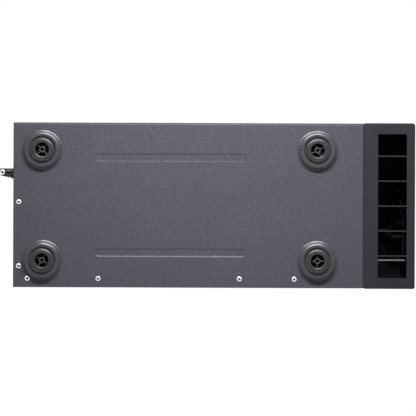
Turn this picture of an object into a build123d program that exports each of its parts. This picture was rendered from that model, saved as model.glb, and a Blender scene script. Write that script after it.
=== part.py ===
from build123d import *
import os
from math import cos, radians, sin

# A floor-standing battery cabinet. Width runs along X, the front faces -Y, and Z is up.
# The origin is at floor level, under the middle of the whole outline. Millimetres.

# ---------------- driving sizes
# battery blocks, and the room round them, which together set the case
layers = 3
blocks_per_layer = 4
block_length = 151.0
block_width = 65.0
block_height = 94.0
block_spacing = 0.5
terminal_height = 6.0
terminal_width = 6.35
terminal_thickness = 0.8
terminal_inset = 12.0
terminal_edge = 10.0
pad_thickness = 2.5
end_pad_thickness = 3.0
boot_rise = 0.6
layer_headroom = 1.7
left_room = 8.3
lead_room = 28.3
rear_room = 131.7

# sheet metal
sheet = 1.2
sheet_fit = 0.1
bend_radius = 2.2
fold_width = 16.5

# clearances
running_fit = 0.05
push_fit = 0.1
body_gap = 0.35

# outline parts
foot_height = 18.0
bezel_depth = 60.2
bezel_wall = 2.5
bezel_proud = 1.0
bezel_side_proud = 0.5
clamp_reach = 16.5

# feet
foot_rear_inset = 33.6
foot_front_inset = 52.4
foot_side_inset = 31.3
foot_radius = 23.0
foot_sole_radius = 14.4
foot_turns = (45.0, 63.0, 30.0, 0.0)

# pressed details of the floor
rib_rear_inset = 94.2
rib_front_inset = 134.4
rib_side_inset = 40.2
rib_width = 9.9
rib_height = 0.6
rib_draft = 68.0
slit_length = 8.8
slit_width = 1.4
slit_depth = 0.3
slit_draft = 64.0
slit_rear_inset = 99.4
slit_front_inset = 137.0
slit_left_x = -25.6
slit_right_x = 26.0

# screws
screw_radius = 2.0
screw_head_radius = 3.1
screw_head_height = 1.9
screw_length = 7.0
small_screw_radius = 1.5
small_head_radius = 2.6
small_head_height = 1.4
head_rim_share = 0.55
head_draft = 48.0
recess_span_share = 1.05
recess_depth_share = 0.6
recess_width = 0.8
rear_screw_inset = 6.5
rear_screw_side_insets = (98.4, 24.5)
side_screw_inset = 10.3
side_screw_rear_insets = (16.5, 98.0)
side_screw_front_insets = (142.1, 78.7)

# vent slots of the sheets
vent_length = 36.0
vent_width = 3.2
vent_pitch = 9.0
vent_column_pitch = 44.0
vent_rows = 8
vent_roof_inset = 68.0
vent_divider_inset = 62.0

# leads
lead_radius = 1.6
lead_rise = 3.0
lead_spacing = 5.5

# rear devices
fan_size = 80.0
fan_depth = 25.0
fan_bore = 38.0
fan_pitch = 71.5
fan_hub_radius = 16.0
fan_blades = 7
fan_side_inset = 51.8
breaker_width = 36.0
breaker_height = 60.0
breaker_depth = 55.0
breaker_side_inset = 45.8
device_roof_inset = 66.0
lever_drum_radius = 8.0
lever_reach = 14.5
lever_pin_radius = 2.0
lever_swing = 44.0
connector_width = 48.0
connector_height = 20.0
connector_depth = 34.0
connector_side_inset = 51.8
connector_roof_inset = 150.0
inlet_width = 27.6
inlet_height = 20.4
inlet_depth = 22.0
reset_thread_radius = 6.0
reset_travel = 1.6

# front controls
button_travel = 1.8
power_radius = 8.0
test_radius = 4.5

# ---------------- derived sizes and places
layer_pitch = pad_thickness + block_height + terminal_height + boot_rise + layer_headroom + sheet
block_pitch = block_width + block_spacing
blocks_span = blocks_per_layer * block_pitch - block_spacing
case_width = 2 * sheet + left_room + block_length + lead_room
case_height = layers * layer_pitch
case_depth = 3 * sheet + 2 * (end_pad_thickness + sheet_fit) + blocks_span + rear_room
bezel_width = case_width + 2 * bezel_side_proud
total_depth = bezel_depth + case_depth + clamp_reach
front_y = -total_depth / 2
case_front_y = front_y + bezel_depth
case_rear_y = case_front_y + case_depth
panel_inner_y = case_rear_y - sheet
front_inner_y = case_front_y + sheet
floor_z = foot_height
roof_z = foot_height + case_height
inner_floor_z = floor_z + sheet
inner_roof_z = roof_z - sheet
half_case = case_width / 2
inner_half = half_case - sheet
foot_x = half_case - foot_side_inset
foot_rear_y = case_rear_y - foot_rear_inset
foot_front_y = case_front_y + foot_front_inset
foot_places = [(x, y) for x in (-foot_x, foot_x) for y in (foot_rear_y, foot_front_y)]
side_screw_x = half_case - side_screw_inset
side_screw_ys = [case_rear_y - inset for inset in side_screw_rear_insets]
side_screw_ys += [case_front_y + inset for inset in side_screw_front_insets]
rear_screw_xs = [half_case - inset for inset in rear_screw_side_insets]
rear_screw_y = case_rear_y - rear_screw_inset
blocks_front_y = front_inner_y + end_pad_thickness + sheet_fit
blocks_rear_y = blocks_front_y + blocks_span
divider_y = blocks_rear_y + end_pad_thickness + sheet_fit
layer_floors = [inner_floor_z + index * layer_pitch for index in range(layers)]
lid_tops = [low + pad_thickness + block_height for low in layer_floors]
block_left = -inner_half + left_room
block_right = block_left + block_length
block_middle = (block_left + block_right) / 2
vent_middle = (divider_y + vent_divider_inset, roof_z - vent_roof_inset)
slit_places = (
    (slit_left_x, case_rear_y - slit_rear_inset),
    (slit_right_x, case_front_y + slit_front_inset),
)

os.makedirs("parts", exist_ok=True)


def save(part, label):
    """Label a finished piece and write it as its own STEP file."""
    part.label = label
    export_step(part, f"parts/{label}.step")


def span_box(low, high, mode=Mode.ADD):
    """Add (or cut) a box given by two opposite corners in the part that is open."""
    size = Vector(*high) - Vector(*low)
    with Locations((Vector(*high) + Vector(*low)) / 2):
        Box(size.X, size.Y, size.Z, mode=mode)


def rod(start, end, radius, mode=Mode.ADD):
    """Add (or cut) a round bar between two points in the part that is open."""
    axis = Vector(*end) - Vector(*start)
    with BuildSketch(Plane(origin=start, z_dir=axis)) as section:
        Circle(radius)
    extrude(section.sketch, amount=axis.length, mode=mode)


def fold_notches(front, rear, bottom, top):
    """Notch an upright sheet's right corners round the cover's folds, and clip its corners at the bends."""
    notch_left = half_case - fold_width - body_gap
    notch_height = 2 * sheet_fit + sheet
    for low, high in ((bottom, inner_floor_z + notch_height), (inner_roof_z - notch_height, top)):
        span_box((notch_left, front, low), (half_case, rear, high), mode=Mode.SUBTRACT)
        span_box(
            (-inner_half, front, low if low == bottom else top - bend_radius / 2),
            (-inner_half + bend_radius / 2, rear, bottom + bend_radius / 2 if low == bottom else high),
            mode=Mode.SUBTRACT,
        )


def pan_screw(
    place, direction, length, radius=screw_radius, head=screw_head_radius, height=screw_head_height
):
    """Add a pan-head screw with a cross recess: its head sits at place, its shank runs along direction."""
    along = Vector(*direction)
    seat = Vector(*place)
    crown = seat - along * height
    rod(seat, seat + along * length, radius)
    with BuildSketch(Plane(origin=seat, z_dir=along * -1)) as disc:
        Circle(head)
    extrude(disc.sketch, amount=height * head_rim_share)
    with BuildSketch(Plane(origin=seat - along * height * head_rim_share, z_dir=along * -1)) as dome:
        Circle(head)
    extrude(dome.sketch, amount=height * (1 - head_rim_share), taper=head_draft)
    with BuildSketch(Plane(origin=crown, z_dir=along)) as recess:
        Rectangle(head * recess_span_share, recess_width)
        Rectangle(recess_width, head * recess_span_share)
    extrude(recess.sketch, amount=height * recess_depth_share, mode=Mode.SUBTRACT)


def lead(points, bend, radius):
    """Add a round lead along straight runs joined by arcs."""
    with BuildLine() as route:
        FilletPolyline(*points, radius=bend)
    start = Vector(*points[0])
    with BuildSketch(Plane(origin=start, z_dir=Vector(*points[1]) - start)) as section:
        Circle(radius)
    sweep(section.sketch, path=route.line)


# ---------------- folded case: floor, left side and roof
with BuildPart() as case_shell:
    with BuildSketch(Plane.XZ.offset(-case_front_y)) as fold:
        with BuildLine() as outline:
            Polyline(
                (half_case, floor_z), (-half_case, floor_z), (-half_case, roof_z), (half_case, roof_z),
                (half_case, inner_roof_z), (-inner_half, inner_roof_z), (-inner_half, inner_floor_z),
                (half_case, inner_floor_z), (half_case, floor_z),
            )
        make_face()
    extrude(amount=-case_depth)
    long_edges = case_shell.edges().filter_by(Axis.Y)
    fillet(long_edges.filter_by(lambda e: e.center().X < -half_case + 0.01), radius=bend_radius)
    fillet(long_edges.filter_by(lambda e: abs(e.center().X + inner_half) < 0.01), radius=bend_radius - sheet)
    # two ribs pressed up into the floor
    rib_length = case_depth - rib_rear_inset - rib_front_inset
    rib_y = case_rear_y - rib_rear_inset - rib_length / 2
    rib_x = half_case - rib_side_inset
    with BuildSketch(Plane.XY.offset(inner_floor_z)) as rib_tops:
        with Locations((-rib_x, rib_y), (rib_x, rib_y)):
            SlotOverall(rib_length + sheet, rib_width + sheet, rotation=90)
    extrude(amount=rib_height, taper=rib_draft)
    with BuildSketch(Plane.XY.offset(floor_z)) as rib_hollows:
        with Locations((-rib_x, rib_y), (rib_x, rib_y)):
            SlotOverall(rib_length, rib_width, rotation=90)
    extrude(amount=rib_height, taper=rib_draft, mode=Mode.SUBTRACT)
    # two short marks pressed into the floor, then its foot holes and screw holes
    with BuildSketch(Plane.XY.offset(floor_z)) as floor_slits:
        with Locations(*slit_places):
            SlotOverall(slit_length, slit_width, rotation=90)
    extrude(amount=slit_depth, taper=slit_draft, mode=Mode.SUBTRACT)
    with BuildSketch(Plane.XY.offset(floor_z)) as floor_holes:
        with Locations(*foot_places):
            Circle(screw_radius)
        with Locations(*[(side_screw_x, y) for y in side_screw_ys]):
            Circle(screw_radius)
        with Locations(*[(x, rear_screw_y) for x in rear_screw_xs]):
            Circle(screw_radius)
    extrude(amount=sheet, mode=Mode.SUBTRACT)
    # screw holes of the roof, over the folds of the cover and the rear panel
    with BuildSketch(Plane.XY.offset(inner_roof_z)) as roof_holes:
        with Locations(*[(side_screw_x, y) for y in side_screw_ys]):
            Circle(screw_radius)
        with Locations(*[(x, rear_screw_y) for x in rear_screw_xs]):
            Circle(screw_radius)
    extrude(amount=sheet, mode=Mode.SUBTRACT)
    # two columns of vent slots in the left side, beside the rear compartment
    with BuildSketch(Plane.YZ.offset(-half_case)) as side_vents:
        with Locations(vent_middle):
            with GridLocations(vent_column_pitch, vent_pitch, 2, vent_rows):
                SlotOverall(vent_length, vent_width)
    extrude(amount=sheet, mode=Mode.SUBTRACT)
save(case_shell.part, "case_shell")

# ---------------- side cover, with a fold at its foot and its head
cover_low = inner_floor_z + sheet_fit
cover_high = inner_roof_z - sheet_fit
with BuildPart() as side_cover:
    with BuildSketch(Plane.XZ.offset(-case_front_y)) as cover_fold:
        with BuildLine() as cover_outline:
            Polyline(
                (half_case - fold_width, cover_low), (half_case, cover_low), (half_case, cover_high),
                (half_case - fold_width, cover_high), (half_case - fold_width, cover_high - sheet),
                (inner_half, cover_high - sheet), (inner_half, cover_low + sheet),
                (half_case - fold_width, cover_low + sheet), (half_case - fold_width, cover_low),
            )
        make_face()
    extrude(amount=-case_depth)
    cover_edges = side_cover.edges().filter_by(Axis.Y)
    fillet(cover_edges.filter_by(lambda e: e.center().X > half_case - 0.01), radius=bend_radius - sheet)
    with BuildSketch(Plane.XY.offset(cover_low)) as cover_holes:
        with Locations(*[(side_screw_x, y) for y in side_screw_ys]):
            Circle(screw_radius)
    extrude(amount=cover_high - cover_low, mode=Mode.SUBTRACT)
    with BuildSketch(Plane.YZ.offset(inner_half)) as cover_vents:
        with Locations(vent_middle):
            with GridLocations(vent_column_pitch, vent_pitch, 2, vent_rows):
                SlotOverall(vent_length, vent_width)
    extrude(amount=sheet, mode=Mode.SUBTRACT)
save(side_cover.part, "side_cover")

# ---------------- rear panel and everything it carries: places
panel_left = -inner_half + sheet_fit
panel_right = inner_half - sheet_fit
fan_x = -inner_half + fan_side_inset
fan_z = roof_z - device_roof_inset
breaker_x = inner_half - breaker_side_inset
breaker_z = roof_z - device_roof_inset
connector_xs = (-inner_half + connector_side_inset, inner_half - connector_side_inset)
connector_z = roof_z - connector_roof_inset
inlet_x = -37.0
inlet_z = floor_z + 84.0
reset_x = 10.0
reset_z = floor_z + 128.0
earth_x = 58.0
earth_z = floor_z + 110.0
clamp_x = -36.1
clamp_z = floor_z + 22.0
nose_height = 45.0
nose_proud = 0.8
flange_thickness = 1.6
peg_radius = 2.6
low_vent_x = 30.0
low_vent_z = floor_z + 38.0
low_vent_rows = 5

with BuildPart() as rear_panel:
    span_box((panel_left, panel_inner_y, cover_low), (panel_right, case_rear_y, cover_high))
    fold_notches(panel_inner_y, case_rear_y, cover_low, cover_high)
    fold_right = half_case - fold_width - body_gap
    fold_depth = 14.0
    for low, high in ((cover_low, cover_low + sheet), (cover_high - sheet, cover_high)):
        span_box((panel_left + bend_radius, panel_inner_y - fold_depth, low), (fold_right, panel_inner_y, high))
    with BuildSketch(Plane.XY.offset(cover_low)) as panel_fold_holes:
        with Locations(*[(x, rear_screw_y) for x in rear_screw_xs]):
            Circle(screw_radius)
    extrude(amount=cover_high - cover_low, mode=Mode.SUBTRACT)
    with BuildSketch(Plane.XZ.offset(-panel_inner_y)) as panel_cutouts:
        with Locations((fan_x, fan_z)):
            Circle(fan_bore)
            with GridLocations(fan_pitch, fan_pitch, 2, 2):
                Circle(screw_radius)
        with Locations((breaker_x, breaker_z)):
            Rectangle(breaker_width + 2 * push_fit, nose_height + 2 * push_fit)
        with Locations(*[(x, connector_z) for x in connector_xs]):
            Rectangle(connector_width + 2 * push_fit, connector_height + 2 * push_fit)
        with Locations((inlet_x, inlet_z)):
            Rectangle(inlet_width + 2 * push_fit, inlet_height + 2 * push_fit)
        with Locations((reset_x, reset_z)):
            Circle(reset_thread_radius + push_fit)
        with Locations((earth_x, earth_z)):
            Circle(screw_radius)
        with Locations((clamp_x, clamp_z)):
            Circle(peg_radius + push_fit)
        with Locations((low_vent_x, low_vent_z)):
            with GridLocations(vent_column_pitch, vent_pitch, 2, low_vent_rows):
                SlotOverall(vent_length, vent_width)
    extrude(amount=-sheet, mode=Mode.SUBTRACT)
save(rear_panel.part, "rear_panel")

# ---------------- front panel behind the bezel
hook_width = 8.0
hook_side_inset = 7.5
hook_end_inset = 50.0
hook_xs = (-half_case + hook_side_inset, half_case - hook_side_inset)
hook_places = [(x, z) for x in hook_xs for z in (floor_z + hook_end_inset, roof_z - hook_end_inset)]
hook_thickness = 2.0
hook_barb = 1.2
hook_hole_play = (1.0, 0.6)
grommet_place = (half_case - 39.0, roof_z - 80.0)
grommet_radius = 6.0
with BuildPart() as front_panel:
    span_box((panel_left, case_front_y, cover_low), (panel_right, front_inner_y, cover_high))
    fold_notches(case_front_y, front_inner_y, cover_low, cover_high)
    with BuildSketch(Plane.XZ.offset(-case_front_y)) as front_cutouts:
        with Locations(*hook_places):
            Rectangle(hook_width + hook_hole_play[0], hook_thickness + hook_barb + hook_hole_play[1])
        with Locations(grommet_place):
            Circle(grommet_radius)
    extrude(amount=-sheet, mode=Mode.SUBTRACT)
save(front_panel.part, "front_panel")

# ---------------- plastic bezel
bezel_low = floor_z - bezel_proud
bezel_high = roof_z + bezel_proud
half_bezel = bezel_width / 2
bezel_corner = 2.5
bezel_front_round = 1.6
bezel_inner = half_bezel - bezel_wall
window_front_inset = 9.6
window_length = 33.2
window_side_inset = 12.5
window_half_span = half_bezel - window_side_inset
bar_pitch = 28.75
bar_width = 1.5
bar_depth = 12.0
window_y = front_y + window_front_inset + window_length / 2
seam_band = 3.0
groove_depth = 1.3
dash_width = 118.0
dash_height = 62.0
dash_depth = 1.5
dash_z = roof_z - 58.0
strip_width = 64.0
strip_height = 9.0
strip_z = dash_z + 16.0
button_z = dash_z - 12.0
power_x = -20.0
test_x = 20.0
collar_extra = 1.6
face_y = front_y + dash_depth
wall_back_y = front_y + dash_depth + bezel_wall
guide_length = 8.0
guide_wall = 1.5
dash_margin = 4.0
dash_corner = 5.0
strip_corner = 1.5
strip_bevel = 0.3
groove_length = 132.0
groove_width = 3.0
groove_pitch = 9.0
groove_rows = 14
groove_z = floor_z + 92.0
hook_reach = 3.0
hook_clear = 0.2
hook_setback = 6.0
bar_overlap = 2.0
post_inset = 5.0
post_radius = 3.0
board_gap = 12.0
board_y = wall_back_y + board_gap
board_half_x = 42.0
board_margin_low = 12.0
board_margin_high = 10.0
board_low_z = button_z - board_margin_low
board_high_z = strip_z + board_margin_high
post_half_x = board_half_x - post_inset
post_zs = (board_low_z + post_inset, board_high_z - post_inset)
post_places = [(x, z) for x in (-post_half_x, post_half_x) for z in post_zs]
with BuildPart() as bezel:
    span_box((-half_bezel, front_y, bezel_low), (half_bezel, case_front_y, bezel_high))
    fillet(bezel.edges().filter_by(Axis.Z).group_by(Axis.Y)[0], radius=bezel_corner)
    fillet(bezel.faces().sort_by(Axis.Y)[0].edges(), radius=bezel_front_round)
    rear_rim = bezel.faces().sort_by(Axis.Y)[-1].edges().filter_by(Axis.X)
    chamfer(rear_rim, length=bezel_proud, length2=seam_band, reference=bezel.faces().sort_by(Axis.Y)[-1])
    span_box(
        (-bezel_inner, front_y + bezel_wall, bezel_low + bezel_wall),
        (bezel_inner, case_front_y, bezel_high - bezel_wall), mode=Mode.SUBTRACT,
    )
    # thicker wall behind the sunk dash, then the sunk dash itself
    span_box(
        (-dash_width / 2 - dash_margin, front_y + bezel_wall, dash_z - dash_height / 2 - dash_margin),
        (dash_width / 2 + dash_margin, wall_back_y, dash_z + dash_height / 2 + dash_margin),
    )
    with BuildSketch(Plane.XZ.offset(-front_y)) as dash:
        with Locations((0, dash_z)):
            RectangleRounded(dash_width, dash_height, dash_corner)
    extrude(amount=-dash_depth, mode=Mode.SUBTRACT)
    # guides round the two buttons, posts for the board
    with BuildSketch(Plane.XZ.offset(-wall_back_y)) as guides:
        with Locations((power_x, button_z)):
            Circle(power_radius + collar_extra + body_gap + guide_wall)
        with Locations((test_x, button_z)):
            Circle(test_radius + collar_extra + body_gap + guide_wall)
    extrude(amount=-guide_length)
    with BuildSketch(Plane.XZ.offset(-wall_back_y)) as posts:
        with Locations(*post_places):
            Circle(post_radius)
    extrude(amount=-board_gap)
    with BuildSketch(Plane.XZ.offset(-face_y)) as button_bores:
        with Locations((power_x, button_z)):
            Circle(power_radius + body_gap)
        with Locations((test_x, button_z)):
            Circle(test_radius + body_gap)
        with Locations((0, strip_z)):
            RectangleRounded(strip_width + 2 * push_fit, strip_height + 2 * push_fit, strip_corner)
    extrude(amount=-bezel_wall, mode=Mode.SUBTRACT)
    with BuildSketch(Plane.XZ.offset(-wall_back_y)) as collar_bores:
        with Locations((power_x, button_z)):
            Circle(power_radius + collar_extra + body_gap)
        with Locations((test_x, button_z)):
            Circle(test_radius + collar_extra + body_gap)
    extrude(amount=-guide_length, mode=Mode.SUBTRACT)
    # grooves across the lower front, and the row of windows underneath
    with BuildSketch(Plane.XZ.offset(-front_y)) as front_grooves:
        with Locations((0, groove_z)):
            with GridLocations(0, groove_pitch, 1, groove_rows):
                SlotOverall(groove_length, groove_width)
    extrude(amount=-groove_depth, mode=Mode.SUBTRACT)
    with BuildSketch(Plane.XY.offset(bezel_low)) as window_row:
        with Locations((0, window_y)):
            Rectangle(2 * window_half_span, window_length)
    extrude(amount=bezel_wall, mode=Mode.SUBTRACT)
    for index in range(-2, 3):
        bar_x = index * bar_pitch
        span_box(
            (bar_x - bar_width / 2, window_y - window_length / 2 - bar_overlap, bezel_low),
            (bar_x + bar_width / 2, window_y + window_length / 2 + bar_overlap, bezel_low + bar_depth),
        )
    # hooks that pass through the front panel, each on a rib from its side wall
    for x, z in hook_places:
        side = 1 if x > 0 else -1
        span_box(
            (x - hook_width / 2, front_y + bezel_wall, z - hook_thickness / 2),
            (x + hook_width / 2, front_inner_y + hook_reach, z + hook_thickness / 2),
        )
        span_box(
            (x - hook_width / 2, front_inner_y + hook_clear, z + hook_thickness / 2),
            (x + hook_width / 2, front_inner_y + hook_reach, z + hook_thickness / 2 + hook_barb),
        )
        span_box(
            (min(x, side * bezel_inner), front_y + bezel_wall, z - hook_thickness / 2),
            (max(x, side * bezel_inner), case_front_y - hook_setback, z + hook_thickness / 2),
        )
save(bezel.part, "bezel")

# ---------------- steel stay behind the bezel's last window
stay_x = 62.3
stay_thickness = 1.6
stay_low = bezel_low + 3.0
stay_high = stay_low + 40.0
stay_foot = 14.0
stay_hole_radius = 4.0
stay_hole_inset = 12.0
stay_front_inset = 2.0
with BuildPart() as bezel_stay:
    span_box(
        (stay_x - stay_thickness / 2, front_y + window_front_inset + stay_front_inset, stay_low),
        (stay_x + stay_thickness / 2, case_front_y, stay_high),
    )
    span_box((stay_x, case_front_y - stay_thickness, stay_low), (stay_x + stay_foot, case_front_y, stay_high))
    with BuildSketch(Plane.YZ.offset(stay_x - stay_thickness / 2)) as stay_hole:
        with Locations((window_y, stay_high - stay_hole_inset)):
            Circle(stay_hole_radius)
    extrude(amount=stay_thickness, mode=Mode.SUBTRACT)
save(bezel_stay.part, "bezel_stay")

# ---------------- indicator window and light pipe
with BuildPart() as indicator_window:
    with BuildSketch(Plane.XZ.offset(-face_y)) as strip:
        with Locations((0, strip_z)):
            RectangleRounded(strip_width, strip_height, strip_corner - push_fit)
    extrude(amount=-bezel_wall)
    chamfer(indicator_window.faces().sort_by(Axis.Y)[0].edges(), length=strip_bevel)
save(indicator_window.part, "indicator_window")

pipe_count = 5
pipe_pitch = 12.0
pipe_radius = 2.0
led_height = 1.6
led_size = 3.0
pipe_bar_height = 5.0
pipe_bar_thickness = 1.5
pipe_bar_corner = 1.2
pipe_bar_length = pipe_pitch * (pipe_count - 1) + 3 * pipe_radius
with BuildPart() as light_pipe:
    with BuildSketch(Plane.XZ.offset(-wall_back_y)) as pipe_bar:
        with Locations((0, strip_z)):
            RectangleRounded(pipe_bar_length, pipe_bar_height, pipe_bar_corner)
    extrude(amount=-pipe_bar_thickness)
    with BuildSketch(Plane.XZ.offset(-wall_back_y)) as pipe_ends:
        with Locations((0, strip_z)):
            with GridLocations(pipe_pitch, 0, pipe_count, 1):
                Circle(pipe_radius)
    extrude(amount=-(board_gap - led_height))
save(light_pipe.part, "light_pipe")

# ---------------- buttons and the board behind them
switch_height = 3.4
switch_size = 6.0
cap_proud = dash_depth - 0.1
collar_thickness = 1.2
stem_radius = 2.0
dish_share = 0.62
dish_depth = 0.4
board_thickness = 1.6
plug_width = 14.0
plug_height = 6.0
plug_x = board_half_x - 13.0
plug_z = board_low_z + 7.0
ribbon_radius = 1.8
ribbon_bend = 4.0
ribbon_setback = 14.0
ribbon_tail = 2.0
grommet_lip = 1.6
grommet_lip_thickness = 1.2
grommet_neck_proud = 1.0


def push_button(x, radius, label):
    """Make a round push button: cap, collar behind the wall, and a stem that faces its switch."""
    with BuildPart() as button:
        with BuildSketch(Plane.XZ.offset(-(face_y - cap_proud))) as cap:
            with Locations((x, button_z)):
                Circle(radius)
        extrude(amount=-(cap_proud + bezel_wall + body_gap + collar_thickness))
        fillet(button.faces().sort_by(Axis.Y)[0].edges(), radius=cap_proud / 2)
        with BuildSketch(Plane.XZ.offset(-(wall_back_y + body_gap))) as collar:
            with Locations((x, button_z)):
                Circle(radius + collar_extra)
        extrude(amount=-collar_thickness)
        with BuildSketch(Plane.XZ.offset(-(wall_back_y + body_gap + collar_thickness))) as stem:
            with Locations((x, button_z)):
                Circle(stem_radius)
        extrude(amount=-(board_gap - switch_height - button_travel - 2 * body_gap - collar_thickness))
        with BuildSketch(Plane.XZ.offset(-(face_y - cap_proud))) as dish:
            with Locations((x, button_z)):
                Circle(radius * dish_share)
        extrude(amount=-dish_depth, mode=Mode.SUBTRACT)
    save(button.part, label)


push_button(power_x, power_radius, "power_button")
push_button(test_x, test_radius, "test_button")

with BuildPart() as front_board:
    span_box((-board_half_x, board_y, board_low_z), (board_half_x, board_y + board_thickness, board_high_z))
    for x in (power_x, test_x):
        span_box(
            (x - switch_size / 2, board_y - switch_height, button_z - switch_size / 2),
            (x + switch_size / 2, board_y, button_z + switch_size / 2),
        )
    with Locations((0, board_y - led_height / 2, strip_z)):
        with GridLocations(pipe_pitch, 0, pipe_count, 1):
            Box(led_size, led_height, led_size)
    span_box(
        (plug_x - plug_width / 2, board_y + board_thickness, plug_z - plug_height / 2),
        (plug_x + plug_width / 2, board_y + board_thickness + plug_height, plug_z + plug_height / 2),
    )
save(front_board.part, "front_board")

with BuildPart() as ribbon_lead:
    drop_y = case_front_y - ribbon_setback
    lead(
        (
            (plug_x, board_y + board_thickness + plug_height, plug_z), (plug_x, drop_y, plug_z),
            (grommet_place[0], drop_y, grommet_place[1]),
            (grommet_place[0], front_inner_y + ribbon_tail, grommet_place[1]),
        ),
        ribbon_bend, ribbon_radius,
    )
save(ribbon_lead.part, "ribbon_lead")

with BuildPart() as lead_grommet:
    with BuildSketch(Plane.XZ.offset(-(case_front_y - grommet_lip_thickness))) as grommet_face:
        with Locations(grommet_place):
            Circle(grommet_radius + grommet_lip)
            Circle(ribbon_radius + push_fit, mode=Mode.SUBTRACT)
    extrude(amount=-grommet_lip_thickness)
    with BuildSketch(Plane.XZ.offset(-case_front_y)) as grommet_neck:
        with Locations(grommet_place):
            Circle(grommet_radius)
            Circle(ribbon_radius + push_fit, mode=Mode.SUBTRACT)
    extrude(amount=-(sheet + grommet_neck_proud))
save(lead_grommet.part, "lead_grommet")

# ---------------- feet: a cup screwed to the floor, an insert in it
seat_z = 7.0
well_floor_z = 15.2
cup_rim_z = 3.0
cup_bore = 15.9
well_radius = 7.9
hub_radius = 3.4
hub_bore = 1.75
hub_low_z = 6.6
spoke_width = 1.8
insert_seat_height = 3.0
rim_height = 2.4
rim_round = 1.8
cup_wall = 4.3
cup_bevel = (0.6, 1.2)
hub_setback = 0.6
hub_mouth_radius = 2.15
hub_mouth_depth = 3.0
sole_bevel = 1.2
sole_line_inner = 11.1
sole_line_outer = 11.5
sole_line_depth = 0.35
foot_screw_length = 9.0
foot_screw_head = 3.4
foot_screw_head_height = 1.7
for number, ((middle_x, middle_y), spoke_turn) in enumerate(zip(foot_places, foot_turns), start=1):
    with BuildPart() as foot_cup:
        with BuildSketch(Plane.XZ) as cup_profile:
            with BuildLine() as cup_line:
                Polyline(
                    (0, floor_z), (foot_radius, floor_z), (foot_radius, floor_z - rim_height),
                    (cup_bore + cup_wall + cup_bevel[0], cup_rim_z + cup_bevel[1]),
                    (cup_bore + cup_wall, cup_rim_z), (cup_bore, cup_rim_z),
                    (cup_bore, seat_z + insert_seat_height), (well_radius, seat_z + insert_seat_height),
                    (well_radius, well_floor_z), (0, well_floor_z), (0, floor_z),
                )
            make_face()
        revolve(axis=Axis.Z)
        rim = foot_cup.edges().filter_by(GeomType.CIRCLE).filter_by(
            lambda e: abs(e.radius - foot_radius) < 0.01 and e.center().Z < floor_z - 1
        )
        fillet(rim, radius=rim_round)
        with BuildSketch(Plane.XY.offset(hub_low_z)) as hub:
            Circle(hub_radius)
        extrude(amount=well_floor_z - hub_low_z)
        with BuildSketch(Plane.XY.offset(hub_low_z + hub_setback)) as spokes:
            for turn in (0, 90):
                Rectangle(2 * (well_radius - push_fit), spoke_width, rotation=spoke_turn + turn)
        extrude(amount=well_floor_z - hub_low_z - hub_setback)
        with BuildSketch(Plane.XY.offset(hub_low_z)) as hub_hole:
            Circle(hub_bore)
        extrude(amount=floor_z - hub_low_z, mode=Mode.SUBTRACT)
        with BuildSketch(Plane.XY.offset(hub_low_z)) as hub_mouth:
            Circle(hub_mouth_radius)
        extrude(amount=hub_mouth_depth, mode=Mode.SUBTRACT)
    save(foot_cup.part.moved(Location((middle_x, middle_y, 0))), f"foot_cup_{number}")
    with BuildPart() as foot_insert:
        with BuildSketch(Plane.XZ) as insert_profile:
            with BuildLine() as insert_line:
                Polyline(
                    (well_radius, sole_bevel), (well_radius + sole_bevel, 0),
                    (sole_line_inner, 0), (sole_line_inner, sole_line_depth),
                    (sole_line_outer, sole_line_depth), (sole_line_outer, 0),
                    (foot_sole_radius - sole_bevel, 0), (foot_sole_radius, sole_bevel),
                    (foot_sole_radius, seat_z), (cup_bore, seat_z),
                    (cup_bore, seat_z + insert_seat_height), (well_radius, seat_z + insert_seat_height),
                    (well_radius, sole_bevel),
                )
            make_face()
        revolve(axis=Axis.Z)
    save(foot_insert.part.moved(Location((middle_x, middle_y, 0))), f"foot_insert_{number}")

with BuildPart() as foot_screws:
    for x, y in foot_places:
        pan_screw(
            (x, y, inner_floor_z), (0, 0, -1), foot_screw_length,
            radius=hub_bore, head=foot_screw_head, height=foot_screw_head_height,
        )
save(foot_screws.part, "foot_screws")

# ---------------- screws of the floor and the roof
with BuildPart() as floor_screws:
    for y in side_screw_ys:
        pan_screw((side_screw_x, y, floor_z), (0, 0, 1), screw_length)
    for x in rear_screw_xs:
        pan_screw((x, rear_screw_y, floor_z), (0, 0, 1), screw_length)
save(floor_screws.part, "floor_screws")

# The roof screws' heads stay below the top of the bezel.
with BuildPart() as roof_screws:
    for y in side_screw_ys:
        pan_screw((side_screw_x, y, roof_z), (0, 0, -1), screw_length, height=bezel_proud)
    for x in rear_screw_xs:
        pan_screw((x, rear_screw_y, roof_z), (0, 0, -1), screw_length, height=bezel_proud)
save(roof_screws.part, "roof_screws")

# ---------------- divider and shelves
lead_gap = 3.0
lead_slot_play = 3.2
black_run_x = block_right + lead_gap
red_run_x = black_run_x + lead_spacing
lead_zs = [lid_top + lead_rise for lid_top in lid_tops]
with BuildPart() as divider:
    span_box((-inner_half, divider_y, inner_floor_z), (inner_half - sheet_fit, divider_y + sheet, inner_roof_z))
    fold_notches(divider_y, divider_y + sheet, inner_floor_z, inner_roof_z)
    for side in (-1, 1):
        rib_clear = rib_width / 2 + body_gap
        span_box(
            (side * rib_x - rib_clear, divider_y, inner_floor_z),
            (side * rib_x + rib_clear, divider_y + sheet, inner_floor_z + rib_height + body_gap),
            mode=Mode.SUBTRACT,
        )
    with BuildSketch(Plane.XZ.offset(-divider_y)) as lead_slots:
        with Locations(*[((red_run_x + black_run_x) / 2, z) for z in lead_zs]):
            SlotOverall(red_run_x - black_run_x + 2 * lead_slot_play, 2 * (lead_radius + lead_slot_play / 2))
    extrude(amount=-sheet, mode=Mode.SUBTRACT)
save(divider.part, "divider")

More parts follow.
